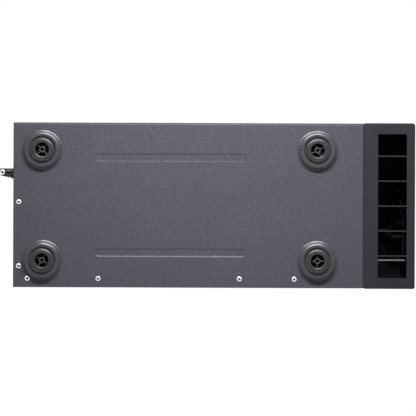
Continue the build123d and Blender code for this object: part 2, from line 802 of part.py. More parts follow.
shelf_lip = 9.0
shelf_right = half_case - fold_width - 1.0
for number, low in enumerate(layer_floors[1:], start=1):
    with BuildPart() as shelf:
        span_box((-inner_half, front_inner_y, low - sheet), (shelf_right, divider_y, low))
        span_box((-inner_half, front_inner_y, low), (-inner_half + sheet, divider_y, low + shelf_lip))
    save(shelf.part, f"shelf_{number}")

# ---------------- battery blocks in layers
lid_height = 6.0
block_corner = 2.0
weld_line_depth = 0.4
weld_line_width = 0.8
terminal_x = block_right - terminal_inset


def terminal_ys(place):
    """Middles of a block's positive and negative terminals along Y, counted from the front block."""
    front = blocks_front_y + place * block_pitch
    return front + terminal_edge, front + block_width - terminal_edge


def terminal_box(y, lid_top, mode=Mode.ADD):
    """Add (or cut) one flat terminal tab that stands on a block's lid."""
    span_box(
        (terminal_x - terminal_width / 2, y - terminal_thickness / 2, lid_top),
        (terminal_x + terminal_width / 2, y + terminal_thickness / 2, lid_top + terminal_height),
        mode=mode,
    )


for layer, lid_top in enumerate(lid_tops):
    for place in range(blocks_per_layer):
        number = layer * blocks_per_layer + place + 1
        front = blocks_front_y + place * block_pitch
        with BuildPart() as battery_block:
            span_box((block_left, front, lid_top - block_height), (block_right, front + block_width, lid_top))
            fillet(battery_block.edges().filter_by(Axis.Z), radius=block_corner)
            # a shallow line where the lid is welded on
            with BuildSketch(Plane.XY.offset(lid_top - lid_height)) as weld_line:
                with Locations((block_middle, front + block_width / 2)):
                    Rectangle(block_length + weld_line_width, block_width + weld_line_width)
                    RectangleRounded(
                        block_length - 2 * weld_line_depth, block_width - 2 * weld_line_depth,
                        block_corner - weld_line_depth, mode=Mode.SUBTRACT,
                    )
            extrude(amount=weld_line_width, mode=Mode.SUBTRACT)
            for y in terminal_ys(place):
                terminal_box(y, lid_top)
        save(battery_block.part, f"battery_block_{number}")

# ---------------- foam pads under and at the ends of each layer
pad_width = 30.0
pad_centres_x = (-30.0, 18.0)
end_pad_left = -55.0
end_pad_right = 45.0
end_pad_low = 20.0
end_pad_high = 80.0
with BuildPart() as foam_pads:
    for low in layer_floors:
        for middle in pad_centres_x:
            span_box(
                (middle - pad_width / 2, blocks_front_y, low),
                (middle + pad_width / 2, blocks_rear_y, low + pad_thickness),
            )
        for start, end in ((front_inner_y, blocks_front_y), (blocks_rear_y, divider_y)):
            span_box((end_pad_left, start, low + end_pad_low), (end_pad_right, end, low + end_pad_high))
save(foam_pads.part, "foam_pads")

# ---------------- leads: three strings, from the blocks to the rear
boot_half = 4.6
boot_depth = 2.4
lead_bend = 5.0
lead_step = 7.0
lead_turn_setback = 14.0
return_turn_setback = 40.0
pole_pitch = 8.0
lead_side_offset = 10.0
pole_drop = 8.0
link_setback = 17.0
link_rise = 15.0
link_side = 12.0
return_link_side = 20.0
return_link_setback = 12.0
inlet_lead_run = 34.0
return_bend = 4.0
board_standoff = 8.6
board_face_x = -inner_half + board_standoff
connector_back_y = panel_inner_y - connector_depth
breaker_back_y = panel_inner_y - breaker_depth


def boot(y, lid_top):
    """Add an insulating boot round a terminal, with a slot that the terminal fits."""
    span_box(
        (terminal_x - boot_half, y - boot_depth, lid_top + boot_rise),
        (terminal_x + boot_half, y + boot_depth, lid_top + terminal_height + boot_rise),
    )
    terminal_box(y, lid_top, mode=Mode.SUBTRACT)


with BuildPart() as red_leads:
    for layer, lid_top in enumerate(lid_tops):
        y = terminal_ys(0)[0]
        z = lid_top + lead_rise
        turn_y = divider_y + lead_turn_setback + lead_step * (layers - 1 - layer)
        end_x = breaker_x + lead_side_offset - pole_pitch * layer
        end_z = breaker_z - pole_drop
        boot(y, lid_top)
        lead(
            (
                (terminal_x + boot_half, y, z), (red_run_x, y, z), (red_run_x, turn_y, z),
                (red_run_x, turn_y, end_z), (end_x, turn_y, end_z), (end_x, breaker_back_y, end_z),
            ),
            lead_bend, lead_radius,
        )
    # from the breaker to the far connector
    link_x = breaker_x - link_side
    link_y = breaker_back_y - link_setback
    link_z = breaker_z + link_rise
    lead(
        (
            (link_x, breaker_back_y, link_z), (link_x, link_y, link_z),
            (connector_xs[0], link_y, link_z), (connector_xs[0], link_y, connector_z),
            (connector_xs[0], connector_back_y, connector_z),
        ),
        lead_bend, lead_radius,
    )
save(red_leads.part, "red_leads")

with BuildPart() as black_leads:
    for layer, lid_top in enumerate(lid_tops):
        z = lid_top + lead_rise
        for place in range(blocks_per_layer - 1):
            start = terminal_ys(place)[1]
            end = terminal_ys(place + 1)[0]
            boot(start, lid_top)
            boot(end, lid_top)
            rod((terminal_x, start + boot_depth, z), (terminal_x, end - boot_depth, z), lead_radius)
        y = terminal_ys(blocks_per_layer - 1)[1]
        turn_y = divider_y + return_turn_setback + lead_step * layer
        end_x = connector_xs[1] + link_side * (layer - 1)
        boot(y, lid_top)
        lead(
            (
                (terminal_x + boot_half, y, z), (black_run_x, y, z), (black_run_x, turn_y, z),
                (black_run_x, turn_y, connector_z), (end_x, turn_y, connector_z),
                (end_x, connector_back_y, connector_z),
            ),
            return_bend, lead_radius,
        )
    # between the two connectors, and from the inlet to the charger board
    return_link_y = connector_back_y - return_link_setback
    lead(
        (
            (connector_xs[1] - return_link_side, connector_back_y, connector_z),
            (connector_xs[1] - return_link_side, return_link_y, connector_z),
            (connector_xs[0] + link_side, return_link_y, connector_z),
            (connector_xs[0] + link_side, connector_back_y, connector_z),
        ),
        lead_bend, lead_radius,
    )
    inlet_back_y = panel_inner_y - inlet_depth
    lead(
        (
            (inlet_x, inlet_back_y, inlet_z), (inlet_x, inlet_back_y - inlet_lead_run, inlet_z),
            (board_face_x, inlet_back_y - inlet_lead_run, inlet_z),
        ),
        lead_bend, lead_radius,
    )
save(black_leads.part, "black_leads")

# ---------------- charger board on the left wall, and its heat sink
charger_length = 90.0
board_front_y = divider_y + 8.0
board_rear_y = board_front_y + charger_length
board_foot_z = floor_z + 22.0
board_head_z = floor_z + 202.0
spacer_radius = 3.0
spacer_inset = 6.0
sink_y = board_front_y + 32.0
sink_z = floor_z + 132.0
sink_width = 42.0
sink_length = 60.0
sink_base = 3.0
fin_height = 22.0
fin_thickness = 2.0
fin_count = 7
core_size = (30.0, 40.0, 28.0)
core_y = board_front_y + 30.0
core_z = board_head_z - 20.0
winding_radius = 4.0
winding_proud = 3.0
capacitor_radius = 9.0
capacitor_height = 28.0
capacitor_zs = (board_foot_z + 22.0, board_foot_z + 44.0)
capacitor_ys = (board_front_y + 22.0, board_front_y + 46.0)
with BuildPart() as charger_board:
    span_box(
        (board_face_x - board_thickness, board_front_y, board_foot_z),
        (board_face_x, board_rear_y, board_head_z),
    )
    for y in (board_front_y + spacer_inset, board_rear_y - spacer_inset):
        for z in (board_foot_z + spacer_inset, board_head_z - spacer_inset):
            rod((-inner_half, y, z), (board_face_x, y, z), spacer_radius)
    # transformer: core and winding
    span_box(
        (board_face_x, core_y - core_size[1] / 2, core_z - core_size[2] / 2),
        (board_face_x + core_size[0], core_y + core_size[1] / 2, core_z + core_size[2] / 2),
    )
    winding_x = board_face_x + winding_radius
    winding_half = core_size[2] / 2 + winding_proud
    rod((winding_x, core_y, core_z - winding_half), (winding_x, core_y, core_z + winding_half), winding_radius)
    # smoothing capacitors
    for z in capacitor_zs:
        for y in capacitor_ys:
            rod((board_face_x, y, z), (board_face_x + capacitor_height, y, z), capacitor_radius)
save(charger_board.part, "charger_board")

with BuildPart() as heat_sink:
    span_box(
        (board_face_x, sink_y - sink_width / 2, sink_z - sink_length / 2),
        (board_face_x + sink_base, sink_y + sink_width / 2, sink_z + sink_length / 2),
    )
    with BuildSketch(Plane.YZ.offset(board_face_x + sink_base)) as fins:
        with Locations((sink_y, sink_z)):
            with GridLocations((sink_width - fin_thickness) / (fin_count - 1), 0, fin_count, 1):
                Rectangle(fin_thickness, sink_length)
    extrude(amount=fin_height)
save(heat_sink.part, "heat_sink")

# ---------------- fan: frame, rotor, finger guard
fan_front_y = panel_inner_y - fan_depth
motor_radius = 15.0
motor_thickness = 3.0
axle_radius = 1.5
axle_length = 15.0
strut_width = 4.0
frame_corner = 4.0
with BuildPart() as fan_frame:
    with BuildSketch(Plane.XZ.offset(-fan_front_y)) as frame_outline:
        with Locations((fan_x, fan_z)):
            RectangleRounded(fan_size, fan_size, frame_corner)
            Circle(fan_bore, mode=Mode.SUBTRACT)
            with GridLocations(fan_pitch, fan_pitch, 2, 2):
                Circle(screw_radius, mode=Mode.SUBTRACT)
    extrude(amount=-fan_depth)
    with BuildSketch(Plane.XZ.offset(-fan_front_y)) as motor_plate:
        with Locations((fan_x, fan_z)):
            Circle(motor_radius)
            for turn in (0, 90):
                Rectangle(2 * fan_bore + strut_width / 2, strut_width, rotation=turn)
    extrude(amount=-motor_thickness)
    rod(
        (fan_x, fan_front_y + motor_thickness, fan_z),
        (fan_x, fan_front_y + motor_thickness + axle_length, fan_z), axle_radius,
    )
save(fan_frame.part, "fan_frame")

rotor_setback = 2.0
rotor_round = 1.5
blade_sink = 2.0
blade_corner = 0.9
rotor_front_y = fan_front_y + motor_thickness + body_gap
rotor_rear_y = panel_inner_y - rotor_setback
blade_chord = 18.0
blade_tip_gap = 1.5
blade_thickness = 2.0
blade_pitch_angle = 38.0
blade_tip = fan_bore - blade_tip_gap
with BuildPart() as fan_rotor:
    rod((fan_x, rotor_front_y, fan_z), (fan_x, rotor_rear_y, fan_z), fan_hub_radius)
    fillet(fan_rotor.faces().sort_by(Axis.Y)[-1].edges(), radius=rotor_round)
    rotor_middle_y = (rotor_front_y + rotor_rear_y) / 2
    for index in range(fan_blades):
        angle = radians(360 / fan_blades * index)
        outward = Vector(cos(angle), 0, sin(angle))
        root = Vector(fan_x, rotor_middle_y, fan_z) + outward * (fan_hub_radius - blade_sink)
        with BuildSketch(Plane(origin=root, x_dir=(0, 1, 0), z_dir=outward)) as blade:
            RectangleRounded(blade_chord, blade_thickness, blade_corner, rotation=blade_pitch_angle)
        extrude(amount=blade_tip - fan_hub_radius + blade_sink)
    rod(
        (fan_x, rotor_front_y, fan_z),
        (fan_x, fan_front_y + motor_thickness + axle_length + body_gap, fan_z),
        axle_radius + running_fit, mode=Mode.SUBTRACT,
    )
save(fan_rotor.part, "fan_rotor")

wire_radius = 0.9
guard_rings = (9.0, 18.0, 27.0, 36.0)
eyelet_radius = 4.2
eyelet_thickness = 1.8
guard_screw_length = 12.0
eyelet_y = case_rear_y + eyelet_thickness
with BuildPart() as fan_guard:
    with BuildSketch(Plane.XZ.offset(-case_rear_y)) as guard_outline:
        with Locations((fan_x, fan_z)):
            for ring_radius in reversed(guard_rings):
                Circle(ring_radius + wire_radius)
                Circle(ring_radius - wire_radius, mode=Mode.SUBTRACT)
            for turn in (45, 135):
                Rectangle(fan_pitch * 2 ** 0.5, 2 * wire_radius, rotation=turn)
            with GridLocations(fan_pitch, fan_pitch, 2, 2):
                Circle(eyelet_radius)
                Circle(screw_radius, mode=Mode.SUBTRACT)
    extrude(amount=-eyelet_thickness)
save(fan_guard.part, "fan_guard")

# ---------------- circuit breaker: body and swinging lever
drum_length = 24.0
pin_length = 4.0
drum_setback = 7.0
drum_y = case_rear_y + nose_proud - drum_setback
mouth_half = 6.5
paddle_width = 20.0
paddle_thickness = 4.0
paddle_corner = 1.2
with BuildPart() as breaker_body:
    span_box(
        (breaker_x - breaker_width / 2, breaker_back_y, breaker_z - breaker_height / 2),
        (breaker_x + breaker_width / 2, panel_inner_y, breaker_z + breaker_height / 2),
    )
    span_box(
        (breaker_x - breaker_width / 2, panel_inner_y, breaker_z - nose_height / 2),
        (breaker_x + breaker_width / 2, case_rear_y + nose_proud, breaker_z + nose_height / 2),
    )
    recess_half = drum_length / 2 + body_gap
    rod(
        (breaker_x - recess_half, drum_y, breaker_z), (breaker_x + recess_half, drum_y, breaker_z),
        lever_drum_radius + body_gap, mode=Mode.SUBTRACT,
    )
    span_box(
        (breaker_x - recess_half, drum_y, breaker_z - mouth_half),
        (breaker_x + recess_half, case_rear_y + nose_proud, breaker_z + mouth_half), mode=Mode.SUBTRACT,
    )
    bore_half = drum_length / 2 + pin_length + body_gap
    rod(
        (breaker_x - bore_half, drum_y, breaker_z), (breaker_x + bore_half, drum_y, breaker_z),
        lever_pin_radius + running_fit, mode=Mode.SUBTRACT,
    )
save(breaker_body.part, "breaker_body")

with BuildPart() as breaker_lever:
    rod(
        (breaker_x - drum_length / 2, drum_y, breaker_z), (breaker_x + drum_length / 2, drum_y, breaker_z),
        lever_drum_radius,
    )
    pin_half = drum_length / 2 + pin_length
    rod((breaker_x - pin_half, drum_y, breaker_z), (breaker_x + pin_half, drum_y, breaker_z), lever_pin_radius)
    up = radians(lever_swing / 2)
    outward = Vector(0, cos(up), sin(up))
    with BuildSketch(Plane(origin=(breaker_x, drum_y, breaker_z), x_dir=(1, 0, 0), z_dir=outward)) as paddle:
        RectangleRounded(paddle_width, paddle_thickness, paddle_corner)
    extrude(amount=lever_reach)
save(breaker_lever.part, "breaker_lever")

# ---------------- two-pole connectors, mains inlet, their contacts
cavity_width = 15.0
cavity_height = 14.0
cavity_depth = 24.0
cavity_offset = 11.0
contact_width = 8.0
contact_thickness = 2.0
contact_length = 19.0
flange_side_lip = 7.0
flange_end_lip = 4.0
flange_corner = 3.0
cavity_corner = 1.0
connector_flange_width = connector_width + 2 * flange_side_lip
connector_flange_height = connector_height + 2 * flange_end_lip
connector_outer_y = case_rear_y + flange_thickness
flange_screw_offset = connector_width / 2 + flange_side_lip / 2
with BuildPart() as dc_connectors:
    for x in connector_xs:
        span_box(
            (x - connector_width / 2, connector_back_y, connector_z - connector_height / 2),
            (x + connector_width / 2, case_rear_y, connector_z + connector_height / 2),
        )
        with BuildSketch(Plane.XZ.offset(-case_rear_y)) as connector_flange:
            with Locations((x, connector_z)):
                RectangleRounded(connector_flange_width, connector_flange_height, flange_corner)
                with GridLocations(2 * flange_screw_offset, 0, 2, 1):
                    Circle(small_screw_radius, mode=Mode.SUBTRACT)
        extrude(amount=-flange_thickness)
    with BuildSketch(Plane.XZ.offset(-connector_outer_y)) as cavities:
        with Locations(*[(x + side * cavity_offset, connector_z) for x in connector_xs for side in (-1, 1)]):
            RectangleRounded(cavity_width, cavity_height, cavity_corner)
    extrude(amount=cavity_depth, mode=Mode.SUBTRACT)
save(dc_connectors.part, "dc_connectors")

inlet_cavity_width = 24.2
inlet_cavity_height = 17.0
inlet_cavity_depth = 17.0
inlet_flange_width = 48.0
inlet_flange_height = 24.0
inlet_screw_offset = 20.0
inlet_pin_length = 14.0
inlet_pin_width = 2.0
inlet_pin_height = 4.0
inlet_flange_corner = 5.0
inlet_cavity_bevel = 4.0
inlet_pin_places = ((-7.0, -3.0), (0.0, 0.5), (7.0, -3.0))
with BuildPart() as ac_inlet:
    span_box(
        (inlet_x - inlet_width / 2, panel_inner_y - inlet_depth, inlet_z - inlet_height / 2),
        (inlet_x + inlet_width / 2, case_rear_y, inlet_z + inlet_height / 2),
    )
    with BuildSketch(Plane.XZ.offset(-case_rear_y)) as inlet_flange:
        with Locations((inlet_x, inlet_z)):
            RectangleRounded(inlet_flange_width, inlet_flange_height, inlet_flange_corner)
            with GridLocations(2 * inlet_screw_offset, 0, 2, 1):
                Circle(small_screw_radius, mode=Mode.SUBTRACT)
    extrude(amount=-flange_thickness)
    with BuildSketch(Plane.XZ.offset(-connector_outer_y)) as inlet_cavity:
        with Locations((inlet_x, inlet_z)):
            Rectangle(inlet_cavity_width, inlet_cavity_height)
        chamfer(inlet_cavity.vertices().group_by(Axis.Z)[-1], length=inlet_cavity_bevel)
    extrude(amount=inlet_cavity_depth, mode=Mode.SUBTRACT)
save(ac_inlet.part, "ac_inlet")

with BuildPart() as socket_contacts:
    contact_back_y = connector_outer_y - cavity_depth
    contact_tip_y = contact_back_y + contact_length
    for x in connector_xs:
        for side in (-1, 1):
            middle = x + side * cavity_offset
            span_box(
                (middle - contact_width / 2, contact_back_y, connector_z - contact_thickness / 2),
                (middle + contact_width / 2, contact_tip_y, connector_z + contact_thickness / 2),
            )
    pin_back_y = connector_outer_y - inlet_cavity_depth
    for x, z in inlet_pin_places:
        with Locations((inlet_x + x, pin_back_y + inlet_pin_length / 2, inlet_z + z)):
            Box(inlet_pin_width, inlet_pin_length, inlet_pin_height)
save(socket_contacts.part, "socket_contacts")

# ---------------- push-to-reset breaker and the earth screw
reset_body_depth = 30.0
reset_body_width = 15.0
reset_body_height = 32.0
reset_button_round = 0.8
reset_nut_flats = 15.0
reset_nut_height = 2.2
reset_button_radius = 3.2
reset_button_proud = 3.6
reset_bore_depth = 12.0
with BuildPart() as reset_body:
    span_box(
        (reset_x - reset_body_width / 2, panel_inner_y - reset_body_depth, reset_z - reset_body_height / 2),
        (reset_x + reset_body_width / 2, panel_inner_y, reset_z + reset_body_height / 2),
    )
    rod((reset_x, panel_inner_y, reset_z), (reset_x, case_rear_y, reset_z), reset_thread_radius)
    with BuildSketch(Plane.XZ.offset(-case_rear_y)) as reset_nut:
        with Locations((reset_x, reset_z)):
            RegularPolygon(reset_nut_flats / 2, 6, major_radius=False)
    extrude(amount=-reset_nut_height)
    rod(
        (reset_x, case_rear_y + reset_nut_height, reset_z),
        (reset_x, case_rear_y + reset_nut_height - reset_bore_depth, reset_z),
        reset_button_radius + body_gap, mode=Mode.SUBTRACT,
    )
save(reset_body.part, "reset_body")

with BuildPart() as reset_button:
    rod(
        (reset_x, case_rear_y + reset_nut_height - reset_bore_depth + reset_travel + body_gap, reset_z),
        (reset_x, case_rear_y + reset_nut_height + reset_button_proud, reset_z), reset_button_radius,
    )
    fillet(reset_button.faces().sort_by(Axis.Y)[-1].edges(), radius=reset_button_round)
save(reset_button.part, "reset_button")

washer_radius = 5.5
washer_thickness = 0.9
earth_head_flats = 8.0
earth_head_height = 3.0
earth_slot_size = (6.4, 1.0)
earth_slot_depth = 1.2
earth_slot_turn = 20.0
with BuildPart() as earth_screw:
    rod((earth_x, case_rear_y, earth_z), (earth_x, case_rear_y + washer_thickness, earth_z), washer_radius)
    with BuildSketch(Plane.XZ.offset(-(case_rear_y + washer_thickness))) as earth_head:
        with Locations((earth_x, earth_z)):
            RegularPolygon(earth_head_flats / 2, 6, major_radius=False)
    extrude(amount=-earth_head_height)
    rod((earth_x, case_rear_y, earth_z), (earth_x, panel_inner_y - screw_length, earth_z), screw_radius)
    with BuildSketch(Plane.XZ.offset(-(case_rear_y + washer_thickness + earth_head_height))) as earth_slot:
        with Locations((earth_x, earth_z)):
            Rectangle(*earth_slot_size, rotation=earth_slot_turn)
    extrude(amount=earth_slot_depth, mode=Mode.SUBTRACT)
save(earth_screw.part, "earth_screw")

# ---------------- small screws of the rear panel
with BuildPart() as panel_screws:
    for side_x in (-1, 1):
        for side_z in (-1, 1):
            place = (fan_x + side_x * fan_pitch / 2, eyelet_y, fan_z + side_z * fan_pitch / 2)
            pan_screw(place, (0, -1, 0), guard_screw_length)
    for x in connector_xs:
        for side in (-1, 1):
            pan_screw(
                (x + side * flange_screw_offset, connector_outer_y, connector_z), (0, -1, 0),
                flange_thickness, radius=small_screw_radius, head=small_head_radius, height=small_head_height,
            )
    for side in (-1, 1):
        pan_screw(
            (inlet_x + side * inlet_screw_offset, connector_outer_y, inlet_z), (0, -1, 0),
            flange_thickness, radius=small_screw_radius, head=small_head_radius, height=small_head_height,
        )
save(panel_screws.part, "panel_screws")

# ---------------- cord clamp low on the rear panel
clamp_width = 11.6
clamp_tip_width = 8.0
clamp_left = clamp_x - clamp_width / 2
clamp_plate = 2.5
clamp_height = 24.0
arm_thickness = 3.5
clamp_low = clamp_z - clamp_height / 2
clamp_gap_end = 9.5
strap_thickness = 3.5
strap_high = clamp_low + 19.0
clamp_screw_x = -37.7
clamp_screw_y = case_rear_y + 12.9
clamp_round = 2.0
strap_round = 3.0
peg_tail = 2.6
peg_barb = 0.9
peg_barb_gap = 0.2
clamp_bore_high = clamp_low + arm_thickness + 9.0
clamp_screw_depth = 8.5
clamp_screw_head = 3.3
clamp_screw_head_height = 2.2
with BuildPart() as clamp_base:
    span_box(
        (clamp_left, case_rear_y, clamp_low),
        (clamp_left + clamp_width, case_rear_y + clamp_plate, clamp_low + clamp_height),
    )
    with BuildSketch(Plane.XY.offset(clamp_low)) as arm:
        with BuildLine() as arm_line:
            tip_y = case_rear_y + clamp_reach
            Polyline(
                (clamp_left, case_rear_y), (clamp_left + clamp_width, case_rear_y),
                (clamp_left + clamp_tip_width, tip_y), (clamp_left, tip_y), (clamp_left, case_rear_y),
            )
        make_face()
        fillet(arm.vertices().group_by(Axis.Y)[-1], radius=clamp_round)
    extrude(amount=arm_thickness)
    peg_end = (clamp_x, panel_inner_y - peg_tail, clamp_z)
    rod((clamp_x, case_rear_y, clamp_z), peg_end, peg_radius)
    rod((clamp_x, panel_inner_y - peg_barb_gap, clamp_z), peg_end, peg_radius + peg_barb)
    rod(
        (clamp_screw_x, clamp_screw_y, clamp_low), (clamp_screw_x, clamp_screw_y, clamp_low + arm_thickness),
        screw_radius, mode=Mode.SUBTRACT,
    )
save(clamp_base.part, "clamp_base")

with BuildPart() as clamp_strap:
    with BuildSketch(Plane.YZ.offset(clamp_left)) as strap_profile:
        with BuildLine() as strap_line:
            Polyline(
                (case_rear_y + clamp_gap_end, clamp_low + arm_thickness),
                (case_rear_y + clamp_reach, clamp_low + arm_thickness),
                (case_rear_y + clamp_reach, strap_high), (case_rear_y + clamp_plate, strap_high),
                (case_rear_y + clamp_plate, strap_high - strap_thickness),
                (case_rear_y + clamp_gap_end, strap_high - strap_thickness),
                (case_rear_y + clamp_gap_end, clamp_low + arm_thickness),
            )
        make_face()
    extrude(amount=clamp_tip_width)
    outer_edge = clamp_strap.edges().filter_by(Axis.X).group_by(Axis.Z)[-1].sort_by(Axis.Y)[-1]
    fillet(outer_edge, radius=strap_round)
    rod(
        (clamp_screw_x, clamp_screw_y, clamp_low), (clamp_screw_x, clamp_screw_y, clamp_bore_high),
        screw_radius, mode=Mode.SUBTRACT,
    )
save(clamp_strap.part, "clamp_strap")

with BuildPart() as clamp_screw:
    pan_screw(
        (clamp_screw_x, clamp_screw_y, clamp_low), (0, 0, 1), arm_thickness + clamp_screw_depth,
        head=clamp_screw_head, height=clamp_screw_head_height,
    )
save(clamp_screw.part, "clamp_screw")
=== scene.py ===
"""Finish and light the floor-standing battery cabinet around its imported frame."""

import logging
import math
from dataclasses import dataclass
from enum import Enum
from itertools import product
from typing import Sequence

import bmesh
import bpy
import numpy as np
from mathutils import Matrix, Vector


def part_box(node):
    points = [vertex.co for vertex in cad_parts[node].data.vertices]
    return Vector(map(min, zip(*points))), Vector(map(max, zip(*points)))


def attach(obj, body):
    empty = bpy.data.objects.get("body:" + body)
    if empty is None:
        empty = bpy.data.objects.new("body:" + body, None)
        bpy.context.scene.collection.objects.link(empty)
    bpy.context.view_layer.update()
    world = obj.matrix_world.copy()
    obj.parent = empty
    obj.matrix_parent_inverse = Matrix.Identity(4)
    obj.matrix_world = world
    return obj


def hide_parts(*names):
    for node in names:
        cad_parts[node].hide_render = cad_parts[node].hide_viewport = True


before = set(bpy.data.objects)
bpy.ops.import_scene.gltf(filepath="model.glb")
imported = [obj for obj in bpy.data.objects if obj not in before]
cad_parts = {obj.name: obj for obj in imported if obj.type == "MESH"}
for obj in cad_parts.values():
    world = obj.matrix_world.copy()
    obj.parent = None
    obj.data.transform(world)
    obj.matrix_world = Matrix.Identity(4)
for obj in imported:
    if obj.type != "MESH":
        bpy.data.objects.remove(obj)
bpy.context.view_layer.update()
LOG = logging.getLogger("battery_cabinet")

Colour = tuple[float, float, float]
Point = tuple[float, float, float]
Grid = np.ndarray
FULL_TURN = 2.0 * math.pi
# Name of the point attribute that carries painted shade: darkening that stands in for the shade in a screw's
# recess.
PAINTED_SHADE = "painted_shade"
MERGE_GAP = 1e-6  # points nearer than this become one, in metres
SHORTEST_EDGE = 1e-7  # anything shorter is dropped, in metres
NO_LENGTH = 1e-9
NOISE_RANGE = (0.3, 0.7)  # where nearly all of a noise's values lie
CRISP, EASED, SOFT = 0.0001, 0.0002, 0.0003  # how far a profile's corner is cut, in metres
Material = bpy.types.Material
Socket = bpy.types.NodeSocket


class Body(Enum):
    """Bodies of the frame that pieces ride on."""

    CABINET = "cabinet"
    FAN = "fan"


class Wrap(Enum):
    """How the rows of a grid of points join up."""

    ROUND = "round"
    RING = "ring"


def limits(node: str) -> tuple[Vector, Vector]:
    """Return the lowest and highest corner of a CAD node as vectors."""
    low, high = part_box(node)
    return Vector(low), Vector(high)


def middle_of(node: str) -> Vector:
    """Return the middle of a CAD node's box."""
    low, high = limits(node)
    return (low + high) / 2


# ---------- grids of points
def eased(rows: Sequence[Point], steps: int = 5, closed: bool = False) -> Grid:
    """Round the corners of a profile.

    Each corner is cut off at its own distance along both of its sides, and the two cuts are joined by
    the curve (1-t)^2 start + 2t(1-t) corner + t^2 end, with t from 0 to 1.

    Args:
        rows: One row for each corner: radius or width, height, and the distance of the cut.
        steps: Steps of t round one corner.
        closed: Whether the last corner joins the first.

    Returns:
        The eased profile, one point for each row.
    """
    table = np.asarray(rows, dtype=float)
    corners, cuts = table[:, :2], table[:, 2:]
    before, after = np.roll(corners, 1, axis=0), np.roll(corners, -1, axis=0)
    to_before, to_after = before - corners, after - corners
    to_before /= np.maximum(np.linalg.norm(to_before, axis=1, keepdims=True), NO_LENGTH)
    to_after /= np.maximum(np.linalg.norm(to_after, axis=1, keepdims=True), NO_LENGTH)
    if not closed:
        cuts = cuts.copy()
        cuts[[0, -1]] = 0.0
    start, end = corners + to_before * cuts, corners + to_after * cuts
    t = np.linspace(0.0, 1.0, steps + 1)[None, :, None]
    curve = (1 - t) ** 2 * start[:, None] + 2 * t * (1 - t) * corners[:, None]
    curve = curve + t ** 2 * end[:, None]
    points = curve.reshape(-1, 2)
    step = np.linalg.norm(np.diff(points, axis=0, prepend=points[:1] - 1.0), axis=1)
    return points[step > SHORTEST_EDGE]


def around(steps: int) -> Grid:
    """Return the angles of a full turn in even steps, without its end."""
    return np.linspace(0.0, FULL_TURN, steps, endpoint=False)


def turned(profile: Grid, turns: int) -> Grid:
    """Turn a profile of (radius, height) once round the Z axis.

    A point at angle a is (radius cos a, radius sin a, height).

    Args:
        profile: The profile's points.
        turns: Steps of the angle in a full turn.

    Returns:
        A grid of points: profile by angle by three.
    """
    angle = around(turns)
    radius, height = profile[:, :1], profile[:, 1:]
    x, y = radius * np.cos(angle), radius * np.sin(angle)
    return np.stack([x, y, np.broadcast_to(height, x.shape)], axis=-1)


def drawn(section: Grid, length: float) -> Grid:
    """Draw a closed section of (x, y) along Z from 0 to a length, and close both ends on its middle.

    Args:
        section: The section's points, in order.
        length: How far it is drawn.

    Returns:
        A grid of points: four rows along the length by section by three.
    """
    centre = section.mean(axis=0)
    shares = np.array([0.0, 1.0, 1.0, 0.0])[:, None, None]
    heights = np.array([0.0, 0.0, length, length])[:, None, None]
    flat = centre + (section - centre) * shares
    return np.concatenate([flat, np.broadcast_to(heights, (4, len(section), 1))], axis=-1)


def rounded_box(width: float, depth: float, corner: float) -> Grid:
    """Return the outline of a rectangle with eased corners, centred on the origin."""
    w, d = width / 2, depth / 2
    corners = [(-w, -d, corner), (w, -d, corner), (w, d, corner), (-w, d, corner)]
    return eased(corners, 4, closed=True)


def set_in(grid: Grid, origin: Vector, axis: Vector, side: Vector = Vector((1, 0, 0))) -> Grid:
    """Place a grid so that its Z runs along an axis and its X as near to a side as that allows.

    Args:
        grid: Points whose last axis holds x, y and z.
        origin: Where the grid's origin goes.
        axis: Direction of its Z.
        side: Rough direction of its X.

    Returns:
        The placed points.
    """
    up = axis.normalized()
    across = side - up * side.dot(up)
    if across.length < MERGE_GAP:
        across = up.orthogonal()
    across.normalize()
    frame_axes = np.array([across, up.cross(across), up])
    return grid @ frame_axes + np.array(origin)


def quads(rows: int, columns: int, wrap: Wrap, offset: int) -> Grid:
    """Number the four corners of each face of a grid of points whose second parameter comes round.

    Args:
        rows: Points along the first parameter.
        columns: Points along the second parameter.
        wrap: RING where the first parameter comes round too.
        offset: Number of the grid's first point in the mesh.

    Returns:
        One row of four point numbers for each face.
    """
    last_row = rows if wrap is Wrap.RING else rows - 1
    i, j = np.meshgrid(np.arange(last_row), np.arange(columns), indexing="ij")
    here, there = i * columns, (i + 1) % rows * columns
    j_next = (j + 1) % columns
    faces = np.stack([here + j, here + j_next, there + j_next, there + j], axis=-1)
    return faces.reshape(-1, 4) + offset


